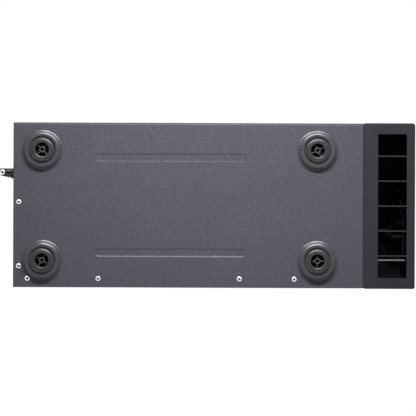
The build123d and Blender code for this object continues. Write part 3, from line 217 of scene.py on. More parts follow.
@dataclass
class Piece:
    """Closed surfaces that share one finish, ride one body and may stand for CAD nodes."""

    name: str
    slot: str
    body: Body
    replaces: tuple[str, ...]
    sharp_degrees: float = 42.0

    def __post_init__(self) -> None:
        """Start with no surfaces."""
        self._points: list[Grid] = []
        self._faces: list[Grid] = []
        self._painted_shade: list[Grid] = []
        self._count = 0

    def add(self, grid: Grid, wrap: Wrap = Wrap.ROUND, painted_shade: Grid | float = 0.0) -> None:
        """Add one surface.

        Args:
            grid: Its points.
            wrap: How its rows join up.
            painted_shade: Share of painted shade at each point, from 0 to 1; it darkens the colour in place
                of shade.
        """
        rows, columns = grid.shape[:2]
        self._points.append(grid.reshape(-1, 3))
        self._painted_shade.append(np.broadcast_to(painted_shade, (rows, columns)).ravel())
        self._faces.append(quads(rows, columns, wrap, self._count))
        self._count += rows * columns

    def make(self, material: Material) -> bpy.types.Object:
        """Build the mesh, merge seams and poles, turn every face outwards and hand the piece over.

        Args:
            material: The finish of the whole piece.

        Returns:
            The finished object, riding on its body.
        """
        mesh = bpy.data.meshes.new(self.name)
        mesh.from_pydata(np.concatenate(self._points), [], np.concatenate(self._faces))
        # Painted shade: each point's share of darkening, which stands in for shade, goes into a point
        # attribute.
        painted_shade = mesh.attributes.new(PAINTED_SHADE, "FLOAT", "POINT")
        painted_shade.data.foreach_set("value", np.concatenate(self._painted_shade))
        work = bmesh.new()
        work.from_mesh(mesh)
        bmesh.ops.remove_doubles(work, verts=work.verts, dist=MERGE_GAP)
        bmesh.ops.dissolve_degenerate(work, edges=work.edges, dist=SHORTEST_EDGE)
        bmesh.ops.recalc_face_normals(work, faces=work.faces)
        work.to_mesh(mesh)
        work.free()
        mesh.shade_smooth()
        mesh.set_sharp_from_angle(angle=math.radians(self.sharp_degrees))
        mesh.materials.append(material)
        piece = bpy.data.objects.new(self.name, mesh)
        bpy.context.scene.collection.objects.link(piece)
        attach(piece, self.body.value)
        if self.replaces:
            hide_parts(*self.replaces)
        LOG.info("%s: %d faces", self.name, len(mesh.polygons))
        return piece


# ---------- finishes
class Shade:
    """A small builder for one material's nodes."""

    def __init__(self, name: str) -> None:
        """Start a material with its shader and its Object coordinates.

        Args:
            name: Name of the material.
        """
        self.made = bpy.data.materials.new(name)
        self.made.use_nodes = True
        self.tree = self.made.node_tree
        self.shader = self.tree.nodes["Principled BSDF"]
        self.place = self.node("TexCoord").outputs["Object"]

    def node(self, kind: str) -> bpy.types.ShaderNode:
        """Add a node of a kind."""
        return self.tree.nodes.new(f"ShaderNode{kind}")

    def link(self, source: Socket, target: Socket) -> None:
        """Join two sockets."""
        self.tree.links.new(source, target)

    def surface(self, colour: Socket, gloss: Socket, **numbers: float) -> None:
        """Dress the shader.

        Args:
            colour: What its base colour follows.
            gloss: What its roughness follows.
            numbers: Uniform numbers for its other sockets. Underscores in a name stand for spaces.
        """
        self.link(colour, self.shader.inputs["Base Color"])
        self.link(gloss, self.shader.inputs["Roughness"])
        for name, number in numbers.items():
            self.shader.inputs[name.replace("_", " ")].default_value = number

    def noise(self, size: float, detail: float = 2.0, stretch: Point = (1.0, 1.0, 1.0)) -> Socket:
        """Add a noise.

        Args:
            size: Size of a grain in metres.
            detail: Octaves of finer noise.
            stretch: How many times longer a grain is along X, Y and Z.

        Returns:
            The noise value, about 0.3 to 0.7.
        """
        turn = self.node("Mapping")
        turn.inputs["Scale"].default_value = tuple(1.0 / (size * s) for s in stretch)
        self.link(self.place, turn.inputs["Vector"])
        noise = self.node("TexNoise")
        noise.inputs["Scale"].default_value = 1.0
        noise.inputs["Detail"].default_value = detail
        self.link(turn.outputs["Vector"], noise.inputs["Vector"])
        return noise.outputs["Fac"]

    def painted_shade(self) -> Socket:
        """Read the share of painted shade that a piece carries at its points."""
        read = self.node("Attribute")
        read.attribute_name = PAINTED_SHADE
        return read.outputs["Fac"]

    def cells(self, size: float) -> Socket:
        """Add round cells of a size in metres and return the distance to their middles."""
        cells = self.node("TexVoronoi")
        cells.inputs["Scale"].default_value = 1.0 / size
        self.link(self.place, cells.inputs["Vector"])
        return cells.outputs["Distance"]

    def span(self, value: Socket, low: float, high: float,
             start: float = NOISE_RANGE[0], end: float = NOISE_RANGE[1]) -> Socket:
        """Carry a value from the range start to end over to the range low to high."""
        carry = self.node("MapRange")
        ends = {"From Min": start, "From Max": end, "To Min": low, "To Max": high}
        for name, number in ends.items():
            carry.inputs[name].default_value = number
        self.link(value, carry.inputs["Value"])
        return carry.outputs["Result"]

    def swing(self, value: Socket, middle: float, share: float) -> Socket:
        """Carry a noise over to a range that reaches as far below a middle as above it."""
        return self.span(value, middle - share, middle + share)

    def times(self, first: Socket, second: Socket) -> Socket:
        """Multiply two values."""
        multiply = self.node("Math")
        multiply.operation = "MULTIPLY"
        self.link(first, multiply.inputs[0])
        self.link(second, multiply.inputs[1])
        return multiply.outputs["Value"]

    def tint(self, colour: Colour, factor: Socket) -> Socket:
        """Multiply a colour by a value."""
        mix = self.node("Mix")
        mix.data_type = "RGBA"
        mix.blend_type = "MULTIPLY"
        mix.inputs["Factor"].default_value = 1.0
        mix.inputs["A"].default_value = (*colour, 1.0)
        self.link(factor, mix.inputs["B"])
        return mix.outputs["Result"]

    def between(self, first: Socket, second: Colour, share: Socket) -> Socket:
        """Mix a colour socket with a second colour by a share."""
        mix = self.node("Mix")
        mix.data_type = "RGBA"
        self.link(share, mix.inputs["Factor"])
        self.link(first, mix.inputs["A"])
        mix.inputs["B"].default_value = (*second, 1.0)
        return mix.outputs["Result"]

    def relief(self, height: Socket, depth: float) -> None:
        """Raise the surface by a height value, over a depth in metres."""
        bump = self.node("Bump")
        bump.inputs["Distance"].default_value = depth
        self.link(height, bump.inputs["Height"])
        self.link(bump.outputs["Normal"], self.shader.inputs["Normal"])


@dataclass(frozen=True)
class PowderCoat:
    """Baked powder coat: a fine orange peel with darker and lighter flecks."""

    name: str
    colour: Colour
    roughness: float = 0.36
    specular: float = 0.34
    fleck: float = 0.36
    fleck_size: float = 0.0014
    cloud: float = 0.03
    cloud_size: float = 0.05
    gloss_swing: float = 0.06
    gloss_size: float = 0.004
    peel_depth: float = 0.00012

    def material(self) -> Material:
        """Build the node material."""
        shade = Shade(self.name)
        flecks = shade.swing(shade.noise(self.fleck_size), 1.0, self.fleck)
        clouds = shade.swing(shade.noise(self.cloud_size), 1.0, self.cloud)
        gloss = shade.swing(shade.noise(self.gloss_size, 3.0), self.roughness, self.gloss_swing)
        colour = shade.tint(self.colour, shade.times(flecks, clouds))
        shade.surface(colour, gloss, Specular_IOR_Level=self.specular)
        shade.relief(shade.noise(self.fleck_size, 1.0), self.peel_depth)
        return shade.made


@dataclass(frozen=True)
class Moulded:
    """Moulded plastic or rubber: spark texture, soft clouds of gloss and a scatter of light scuffs."""

    name: str
    colour: Colour
    roughness: float = 0.45
    specular: float = 0.4
    grain: float = 0.05
    grain_size: float = 0.0008
    cloud: float = 0.04
    cloud_size: float = 0.03
    gloss_size: float = 0.012
    glossier: float = 0.05
    duller: float = 0.07
    relief_depth: float = 0.00004
    scuff: float = 0.0
    scuff_size: float = 0.004
    scuff_stretch: float = 7.0
    scuff_start: float = 0.62
    scuff_full: float = 0.8
    scuff_gain: float = 2.2
    scuff_lift: float = 0.01

    def material(self) -> Material:
        """Build the node material."""
        shade = Shade(self.name)
        grain = shade.swing(shade.noise(self.grain_size), 1.0, self.grain)
        clouds = shade.swing(shade.noise(self.cloud_size, 3.0), 1.0, self.cloud)
        colour = shade.tint(self.colour, shade.times(grain, clouds))
        if self.scuff > 0:
            streaks = shade.noise(self.scuff_size, 4.0, (1.0, self.scuff_stretch, 1.0))
            lines = shade.span(streaks, 0.0, self.scuff, self.scuff_start, self.scuff_full)
            colour = shade.between(colour, self._paler(), lines)
        shine, dull = self.roughness - self.glossier, self.roughness + self.duller
        gloss = shade.span(shade.noise(self.gloss_size, 3.0), shine, dull)
        shade.surface(colour, gloss, Specular_IOR_Level=self.specular)
        shade.relief(shade.noise(self.grain_size, 1.0), self.relief_depth)
        return shade.made

    def _paler(self) -> Colour:
        """Return the colour of a scuff: the plastic's own, a good deal paler."""
        red, green, blue = (min(1.0, c * self.scuff_gain + self.scuff_lift) for c in self.colour)
        return red, green, blue


@dataclass(frozen=True)
class BrightMetal:
    """Plated or drawn metal: fine lines, spots of duller plating, and painted shade where a piece carries it.
    """

    name: str
    colour: Colour
    roughness: float = 0.28
    brighter: float = 0.08
    duller: float = 0.10
    lines: Point = (1.0, 1.0, 1.0)
    line_size: float = 0.0004
    mottle: float = 0.06
    mottle_size: float = 0.003
    relief_depth: float = 0.000008
    # Colour of the painted shade in recesses.
    recess_shade: Colour = (0.035, 0.034, 0.036)

    def material(self) -> Material:
        """Build the node material."""
        shade = Shade(self.name)
        spots = shade.noise(self.mottle_size, 3.0)
        clean = shade.tint(self.colour, shade.span(spots, 1.0 - self.mottle, 1.0 + self.mottle / 3))
        shine, dull = self.roughness - self.brighter, self.roughness + self.duller
        gloss = shade.span(shade.noise(self.mottle_size), shine, dull)
        # Painted shade: the colour turns near-black where a piece carries painted shade, as in a screw's
        # cross recess.
        shade.surface(shade.between(clean, self.recess_shade, shade.painted_shade()), gloss, Metallic=1.0)
        shade.relief(shade.noise(self.line_size, 2.0, self.lines), self.relief_depth)
        return shade.made


@dataclass(frozen=True)
class ClearPlastic:
    """Clear or smoked plastic, with a faint flow pattern in its gloss."""

    name: str
    colour: Colour
    transmission: float
    roughness: float = 0.06
    duller: float = 0.03
    flow: float = 0.03
    flow_size: float = 0.02
    gloss_size: float = 0.006
    index: float = 1.49

    def material(self) -> Material:
        """Build the node material."""
        shade = Shade(self.name)
        flow = shade.span(shade.noise(self.flow_size), 1.0 - self.flow, 1.0)
        gloss = shade.span(shade.noise(self.gloss_size), self.roughness, self.roughness + self.duller)
        colour = shade.tint(self.colour, flow)
        shade.surface(colour, gloss, Transmission_Weight=self.transmission, IOR=self.index)
        return shade.made


@dataclass(frozen=True)
class Foam:
    """Open-cell foam: small pits in a matt sheet, with painted shade in the pits and painted light on their
    rims.
    """

    name: str
    colour: Colour
    cell_size: float = 0.0012
    cell_rim: float = 0.6
    pit_painted_shade: float = 0.5
    rim_painted_light: float = 1.25
    roughness: float = 0.9
    specular: float = 0.2
    pit_depth: float = 0.0004

    def material(self) -> Material:
        """Build the node material."""
        shade = Shade(self.name)
        pits = shade.cells(self.cell_size)
        # Painted shade and light: the colour darkens towards each pit's middle and lightens at its rim,
        # following the relief.
        pit_light_and_shade = shade.span(pits, self.pit_painted_shade, self.rim_painted_light, 0.0, self.cell_rim)
        gloss = shade.span(pits, self.roughness, 1.0, 0.0, self.cell_rim)
        shade.surface(shade.tint(self.colour, pit_light_and_shade), gloss, Specular_IOR_Level=self.specular)
        shade.relief(pits, self.pit_depth)
        return shade.made


Finish = PowderCoat | Moulded | BrightMetal | ClearPlastic | Foam

CASE_COAT = PowderCoat("case_powder_coat", (0.073, 0.069, 0.088))
BEZEL_PLASTIC = Moulded(
    "bezel_plastic", (0.028, 0.028, 0.036), roughness=0.42, specular=0.16, grain=0.08, cloud=0.12,
)
CUP_PLASTIC = Moulded("foot_cup_plastic", (0.050, 0.050, 0.065), roughness=0.28, specular=0.45, scuff=0.1)
TREAD_RUBBER = Moulded("foot_tread_rubber", (0.029, 0.030, 0.031), roughness=0.29, specular=0.42, scuff=0.15)
# Painted shade: near-black lining for the feet's wells, standing in for the shade deep in them.
WELL_SHADE_LINING = Moulded("foot_well_painted_shade", (0.006, 0.006, 0.006), roughness=0.7, specular=0.2)
SCREW_ZINC = BrightMetal("bright_zinc", (0.86, 0.86, 0.87), roughness=0.24)
# Painted shade: the foot screws are near-black so that the hubs' bores, where their tips show, read as shade.
BORE_SHADE_STEEL = Moulded("steel_painted_shade", (0.008, 0.008, 0.008), roughness=0.6, specular=0.1)
INNER_ZINC = BrightMetal(
    "galvanised_sheet", (0.44, 0.45, 0.47), roughness=0.42, mottle=0.2, mottle_size=0.008,
)
# Painted shade: a darker copy of the galvanised sheet for the stay, which stands in the bezel's shade.
STAY_SHADED_ZINC = BrightMetal("zinc_sheet_painted_shade", (0.13, 0.13, 0.135), roughness=0.5, mottle=0.15, mottle_size=0.006)
SINK_METAL = BrightMetal("extruded_aluminium", (0.62, 0.62, 0.64), roughness=0.34, lines=(1.0, 1.0, 40.0))
GUARD_CHROME = BrightMetal("chromed_wire", (0.80, 0.80, 0.81), roughness=0.14, mottle=0.03)
CONTACT_METAL = BrightMetal("tinned_brass", (0.80, 0.76, 0.62), roughness=0.24, lines=(1.0, 30.0, 1.0))
SMOKED_CLEAR = ClearPlastic("smoked_clear", (0.03, 0.03, 0.034), 0.35)
PIPE_CLEAR = ClearPlastic("pipe_clear", (0.30, 0.31, 0.32), 0.9)
KEY_PLASTIC = Moulded("key_plastic", (0.070, 0.069, 0.078), roughness=0.34)
BOARD_RESIST = Moulded(
    "board_resist", (0.003, 0.014, 0.007), roughness=0.5, specular=0.1, grain=0.15, grain_size=0.002,
)
RIBBON_SHEATH = Moulded("ribbon_sheath", (0.05, 0.05, 0.05), roughness=0.45)
GROMMET_RUBBER = Moulded("grommet_rubber", (0.016, 0.016, 0.016), roughness=0.6)
BLOCK_PLASTIC = Moulded("block_plastic", (0.030, 0.030, 0.032), roughness=0.5, grain=0.1, scuff=0.2)
PAD_FOAM = Foam("pad_foam", (0.045, 0.045, 0.045))
LEAD_RED = Moulded("lead_red", (0.42, 0.018, 0.014), roughness=0.34)
LEAD_BLACK = Moulded("lead_black", (0.014, 0.014, 0.014), roughness=0.34)
FAN_PLASTIC = Moulded("fan_plastic", (0.016, 0.016, 0.016), roughness=0.4, scuff=0.1)
BREAKER_PLASTIC = Moulded("breaker_plastic", (0.028, 0.028, 0.028), roughness=0.5, grain=0.1, scuff=0.1)
LEVER_PLASTIC = Moulded("lever_plastic", (0.56, 0.56, 0.53), roughness=0.34)
SOCKET_PLASTIC = Moulded("socket_plastic", (0.020, 0.020, 0.020), roughness=0.42, grain=0.08, scuff=0.1)
RESET_PLASTIC = Moulded("reset_plastic", (0.50, 0.03, 0.02), roughness=0.3)
CLAMP_NYLON = Moulded("clamp_nylon", (0.022, 0.022, 0.024), roughness=0.24, specular=0.42, grain=0.04)

NODE_FINISHES: dict[Finish, tuple[str, ...]] = {
    CASE_COAT: ("case_shell", "side_cover", "rear_panel", "front_panel"),
    BEZEL_PLASTIC: ("bezel",),
    SMOKED_CLEAR: ("indicator_window",),
    PIPE_CLEAR: ("light_pipe",),
    KEY_PLASTIC: ("power_button", "test_button"),
    BOARD_RESIST: ("front_board", "charger_board"),
    RIBBON_SHEATH: ("ribbon_lead",),
    GROMMET_RUBBER: ("lead_grommet",),
    CUP_PLASTIC: tuple(f"foot_cup_{n}" for n in range(1, 5)),
    TREAD_RUBBER: tuple(f"foot_insert_{n}" for n in range(1, 5)),
    BORE_SHADE_STEEL: ("foot_screws",),
    SCREW_ZINC: ("floor_screws", "roof_screws", "panel_screws", "earth_screw", "clamp_screw"),
    INNER_ZINC: ("divider", "shelf_1", "shelf_2"),
    STAY_SHADED_ZINC: ("bezel_stay",),
    BLOCK_PLASTIC: tuple(f"battery_block_{n}" for n in range(1, 13)),
    PAD_FOAM: ("foam_pads",),
    LEAD_RED: ("red_leads",),
    LEAD_BLACK: ("black_leads",),
    SINK_METAL: ("heat_sink",),
    FAN_PLASTIC: ("fan_frame", "fan_rotor"),
    GUARD_CHROME: ("fan_guard",),
    BREAKER_PLASTIC: ("breaker_body",),
    LEVER_PLASTIC: ("breaker_lever",),
    SOCKET_PLASTIC: ("dc_connectors", "ac_inlet", "reset_body"),
    CONTACT_METAL: ("socket_contacts",),
    RESET_PLASTIC: ("reset_button",),
    CLAMP_NYLON: ("clamp_base", "clamp_strap"),
}


class Palette:
    """Makes each finish's material once and hands it out."""

    def __init__(self) -> None:
        """Start with no materials made."""
        self._made: dict[str, Material] = {}

    def get(self, finish: Finish) -> Material:
        """Return the material of a finish, made on first use."""
        if finish.name not in self._made:
            self._made[finish.name] = finish.material()
        return self._made[finish.name]

    def dress_frame(self) -> None:
        """Give every CAD node its finish."""
        for finish, names in NODE_FINISHES.items():
            for name in names:
                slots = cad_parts[name].data.materials
                slots.clear()
                slots.append(self.get(finish))
                LOG.info("%s: %s", name, finish.name)


def solids_of(node: str) -> list[tuple[Vector, Vector]]:
    """Find the boxes of the separate solids of a CAD node.

    Every point starts with a number of its own. Each triangle hands the lowest number of its corners to
    all three of them, again and again, until each solid has one number.

    Args:
        node: Name of the node.

    Returns:
        The lowest and highest corner of each solid.
    """
    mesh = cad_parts[node].data
    points = np.empty(len(mesh.vertices) * 3)
    mesh.vertices.foreach_get("co", points)
    corners = np.empty(len(mesh.loops), dtype=np.int64)
    mesh.loops.foreach_get("vertex_index", corners)
    places, index = np.unique(np.round(points.reshape(-1, 3), 6), axis=0, return_inverse=True)
    faces = index.ravel()[corners].reshape(-1, 3)
    label = np.arange(len(places))
    settled = False
    while not settled:
        lowest = np.repeat(label[faces].min(axis=1), 3)
        fresh = label.copy()
        np.minimum.at(fresh, faces.ravel(), lowest)
        settled = bool((fresh == label).all())
        label = fresh
    groups = [places[label == number] for number in np.unique(label)]
    return [(Vector(group.min(axis=0)), Vector(group.max(axis=0))) for group in groups]


# ---------- feet
# Each row: distance from the named edge, height from the named face, cut of the corner.
FLANGE_SLOPE = (  # in from the flange's edge, down from its seat
    (0.0, 0.0, 0.0), (0.0, 0.00080, CRISP), (0.0002, 0.00100, CRISP), (0.0009, 0.00125, EASED),
    (0.0018, 0.00149, SOFT),
)
LIP_SLOPE = (  # out from the lip's radius, up from the rim
    (0.0020, 0.00066, CRISP), (0.0013, 0.00040, EASED), (0.0006, 0.00020, EASED), (-0.0002, 0.0, SOFT),
)
TREAD_EDGE = ((0.0, 0.00120, EASED), (0.0004, 0.00070, EASED))  # in from the tread's edge, up from the sole
SHOULDER_SLOPE = (  # out from the sole's outer edge, up from the sole
    (0.0014, 0.00042, EASED), (0.0007, 0.00018, EASED), (0.0, 0.0, EASED),
)
BEVEL_SLOPE = (  # in from the sole's inner edge, up from the sole
    (0.0, 0.0, EASED), (0.0004, 0.00007, CRISP), (0.0009, 0.00022, EASED),
)


@dataclass(frozen=True)
class LevellingFoot:
    """One foot: a flanged cup screwed to the floor, a well with a spoked hub lined in near-black painted
    shade, and a rubber tread.
    """

    number: int
    spoke_degrees: float
    flange_growth: float = 0.0005
    rim_rise: float = 0.0028
    step_radius: float = 0.0207
    step_draft: float = 0.0001
    step_top: float = 0.00162
    step_middle: float = 0.00300
    step_foot: float = 0.00095
    lip_radius: float = 0.0183
    rim_inner: float = 0.0157
    rim_cut: float = 0.0004
    bowl_height: float = 0.0082
    tread_radius: float = 0.0139
    line_radius: float = 0.0108
    line_half_width: float = 0.0003
    line_depth: float = 0.0005
    sole_outer: float = 0.0115
    sole_inner: float = 0.0092
    bevel_rise: float = 0.00048
    well_radius: float = 0.0079
    well_fit: float = 0.0001
    well_depth: float = 0.0150
    sleeve_mouth: float = 0.0060
    hub_radius: float = 0.0036
    hub_round: float = 0.0005
    hub_bore: float = 0.0021
    hub_drop: float = 0.0036
    hub_roof: float = 0.0024
    spoke_width: float = 0.0012
    spoke_count: int = 4
    spoke_gap: float = 0.0006
    bite: float = 0.0004
    play: float = 0.0003
    wall_turns: int = 96
    well_turns: int = 64
    hub_turns: int = 48

    def build(self, palette: Palette) -> None:
        """Build the cup, the well and the tread."""
        self._cup(palette)
        self._well(palette)
        self._tread(palette)

    @property
    def _axis(self) -> Vector:
        """Where the foot's axis meets the ground."""
        middle = middle_of(f"foot_cup_{self.number}")
        return Vector((middle.x, middle.y, 0.0))

    def _turn(self, profile: Sequence[Point], turns: int) -> Grid:
        """Ease a profile and turn it round the foot's axis."""
        return turned(eased(profile), turns) + np.array(self._axis)

    def _cup(self, palette: Palette) -> None:
        """Turn the cup's wall: a shallow sloping flange, a step, a broad rounded lip and a groove."""
        node = f"foot_cup_{self.number}"
        low, high = limits(node)
        flange = (high.x - low.x) / 2 + self.flange_growth
        seat, rim = high.z, low.z + self.rim_rise
        base, bowl = low.z + self.well_depth - self.hub_roof, low.z + self.bowl_height
        throat = self.well_radius + self.play
        profile = [
            (0.0, seat, 0.0), *((flange - inset, seat - drop, cut) for inset, drop, cut in FLANGE_SLOPE),
            (self.step_radius + self.step_draft, seat - self.step_top, CRISP),
            (self.step_radius, seat - self.step_middle, SOFT),
            (self.step_radius - 2 * self.step_draft, rim + self.step_foot, CRISP),
            *((self.lip_radius + out, rim + rise, cut) for out, rise, cut in LIP_SLOPE),
            (self.rim_inner, rim, self.rim_cut), (self.rim_inner, bowl, 0.0), (throat, bowl, 0.0),
            (throat, base, 0.0), (0.0, base, 0.0), (0.0, seat, 0.0),
        ]
        cup = Piece(f"foot_shell_{self.number}", "foot_cup_plastic", Body.CABINET, (node,))
        cup.add(self._turn(profile, self.wall_turns))
        self._hub(cup, low.z + self.hub_drop, base)
        cup.make(palette.get(CUP_PLASTIC))

    def _hub(self, cup: Piece, low: float, high: float) -> None:
        """Add the hub and its spokes.

        Args:
            cup: The piece that they belong to.
            low: Height of the hub's free end.
            high: Height of its root.
        """
        cup.add(self._turn([
            (self.hub_bore, high, 0.0), (self.hub_bore, low, SOFT), (self.hub_radius, low, self.hub_round),
            (self.hub_radius, high, 0.0), (self.hub_bore, high, 0.0),
        ], self.hub_turns))
        reach = self.well_radius - self.hub_bore - self.spoke_gap
        section = rounded_box(self.spoke_width, high - low - self.spoke_gap, self.bite)
        for index in range(self.spoke_count):
            turn = math.radians(self.spoke_degrees + 360.0 / self.spoke_count * index)
            outward = Vector((math.cos(turn), math.sin(turn), 0.0))
            root = self._axis + outward * (self.hub_bore + self.bite)
            root.z = (low + high) / 2 + self.play
            cup.add(set_in(drawn(section, reach), root, outward, outward.cross(Vector((0, 0, 1)))))

    def _well(self, palette: Palette) -> None:
        """Turn a near-black sleeve that lines the well, round the hub and the spokes: painted shade, a dark
        sheet that stands in for the shade deep in the well.
        """
        low, _ = limits(f"foot_insert_{self.number}")
        base, mouth = low.z + self.well_depth, low.z + self.sleeve_mouth
        roof, bore = base - self.play, self.hub_bore + self.bite
        inner, outer = self.well_radius - self.well_fit, self.well_radius + 2 * self.well_fit
        well = Piece(f"foot_well_{self.number}", "foot_insert_rubber", Body.CABINET, ())
        well.add(self._turn([
            (bore, roof, 0.0), (inner, roof, 0.0), (inner, mouth, 0.0), (outer, mouth, 0.0),
            (outer, base, 0.0), (bore, base, 0.0), (bore, roof, 0.0),
        ], self.well_turns))
        well.make(palette.get(WELL_SHADE_LINING))

    def _tread(self, palette: Palette) -> None:
        """Turn the tread: a rounded outer shoulder, a moulded line, and a bevel into the well."""
        node = f"foot_insert_{self.number}"
        low, high = limits(node)
        sole, top, throat = low.z, high.z, self.well_radius + self.well_fit
        tread = Piece(f"foot_tread_{self.number}", "foot_insert_rubber", Body.CABINET, (node,))
        tread.add(self._turn([
            (self.tread_radius, top, 0.0),
            *((self.tread_radius - inset, sole + rise, cut) for inset, rise, cut in TREAD_EDGE),
            *((self.sole_outer + out, sole + rise, cut) for out, rise, cut in SHOULDER_SLOPE),
            (self.line_radius + self.line_half_width, sole, CRISP),
            (self.line_radius, sole + self.line_depth, CRISP),
            (self.line_radius - self.line_half_width, sole, CRISP),
            *((self.sole_inner - inset, sole + rise, cut) for inset, rise, cut in BEVEL_SLOPE),
            (throat, sole + self.bevel_rise, CRISP), (throat, top, 0.0), (self.tread_radius, top, 0.0),
        ], self.wall_turns))
        tread.make(palette.get(TREAD_RUBBER))


# ---------- screws
@dataclass(frozen=True)
class ScrewSet:
    """Domed screws with a cross recess that stand for the screws of one CAD node."""

    name: str
    node: str
    outward: Point
    head_height: float = 0.0019
    slot: str = "screw_zinc"
    shank_radius: float = 0.0019
    shank_share: float = 0.6
    crown_share: float = 0.97
    crown_fall: float = 0.20
    edge_fall: float = 0.34
    edge_height: float = 0.36
    recess_width: float = 0.00052
    recess_reach: float = 0.60
    recess_depth: float = 0.0019
    recess_slope: float = 0.00012
    turn_step: float = 37.0
    turns: int = 72
    crown_rings: int = 30

    def build(self, palette: Palette) -> None:
        """Build every screw of the node as one piece, each turned by a step from the last."""
        out = Vector(self.outward)
        upright = abs(out.z) > 0.5
        heads = Piece(self.name, self.slot, Body.CABINET, (self.node,))
        for index, (low, high) in enumerate(solids_of(self.node)):
            middle = (low + high) / 2
            reach = abs((high - low).dot(out))
            radius = min(size for size, way in zip(high - low, out) if abs(way) < 0.5) / 2
            turn = math.radians(self.turn_step * index)
            cos, sin = math.cos(turn), math.sin(turn)
            side = Vector((cos, sin, 0.0) if upright else (cos, 0.0, sin))
            height = min(self.head_height, reach / 2)
            seat = middle + out * reach / 2 - out * height
            grid, painted_shade = self._screw(radius, height, reach - height)
            heads.add(set_in(grid, seat, out, side), painted_shade=painted_shade)
        heads.make(palette.get(SCREW_ZINC))

    def _screw(self, radius: float, height: float, length: float) -> tuple[Grid, Grid]:
        """Work out one screw, standing on its seat at z = 0 with its head up.

        The crown at radius r and angle a is height (1 - crown fall (r/R)^2 - edge fall (r/R)^9), less the
        recess depth where the point lies within the recess width of either of two crossed lines, and
        within its reach. The recess fades over its slope, so that its walls aren't upright.

        Args:
            radius: Radius of the head.
            height: Height of the head.
            length: Length of the shank.

        Returns:
            A grid of points, closed at both poles, and each point's share of painted shade, full in the
            recess.
        """
        angle = around(self.turns)[None, :]
        r = np.linspace(0.0, radius * self.crown_share, self.crown_rings)[:, None]
        x, y = r * np.cos(angle), r * np.sin(angle)
        near = self._fade(self.recess_width - np.minimum(np.abs(x), np.abs(y)))
        within = self._fade(self.recess_reach * radius - np.maximum(np.abs(x), np.abs(y)))
        share = r / radius
        depth = min(self.recess_depth, height + 0.5 * length)
        crown = height * (1.0 - self.crown_fall * share ** 2 - self.edge_fall * share ** 9)
        top = np.stack([x, y, crown - depth * near * within], axis=-1)
        shank = min(self.shank_radius, radius * self.shank_share)
        edge = height * self.edge_height
        side = [(radius, edge), (radius, 0.0), (shank, 0.0), (shank, -length), (0.0, -length)]
        foot = turned(np.array(side), self.turns)
        # Painted shade: the cross recess carries full painted shade, which darkens it in colour.
        painted_shade = np.concatenate([near * within, np.zeros(foot.shape[:2])], axis=0)
        return np.concatenate([top, foot], axis=0), painted_shade

    def _fade(self, inside: Grid) -> Grid:
        """Return 1 inside the recess and 0 outside it, and values between along its slope."""
        return np.clip(inside / self.recess_slope + 0.5, 0.0, 1.0)


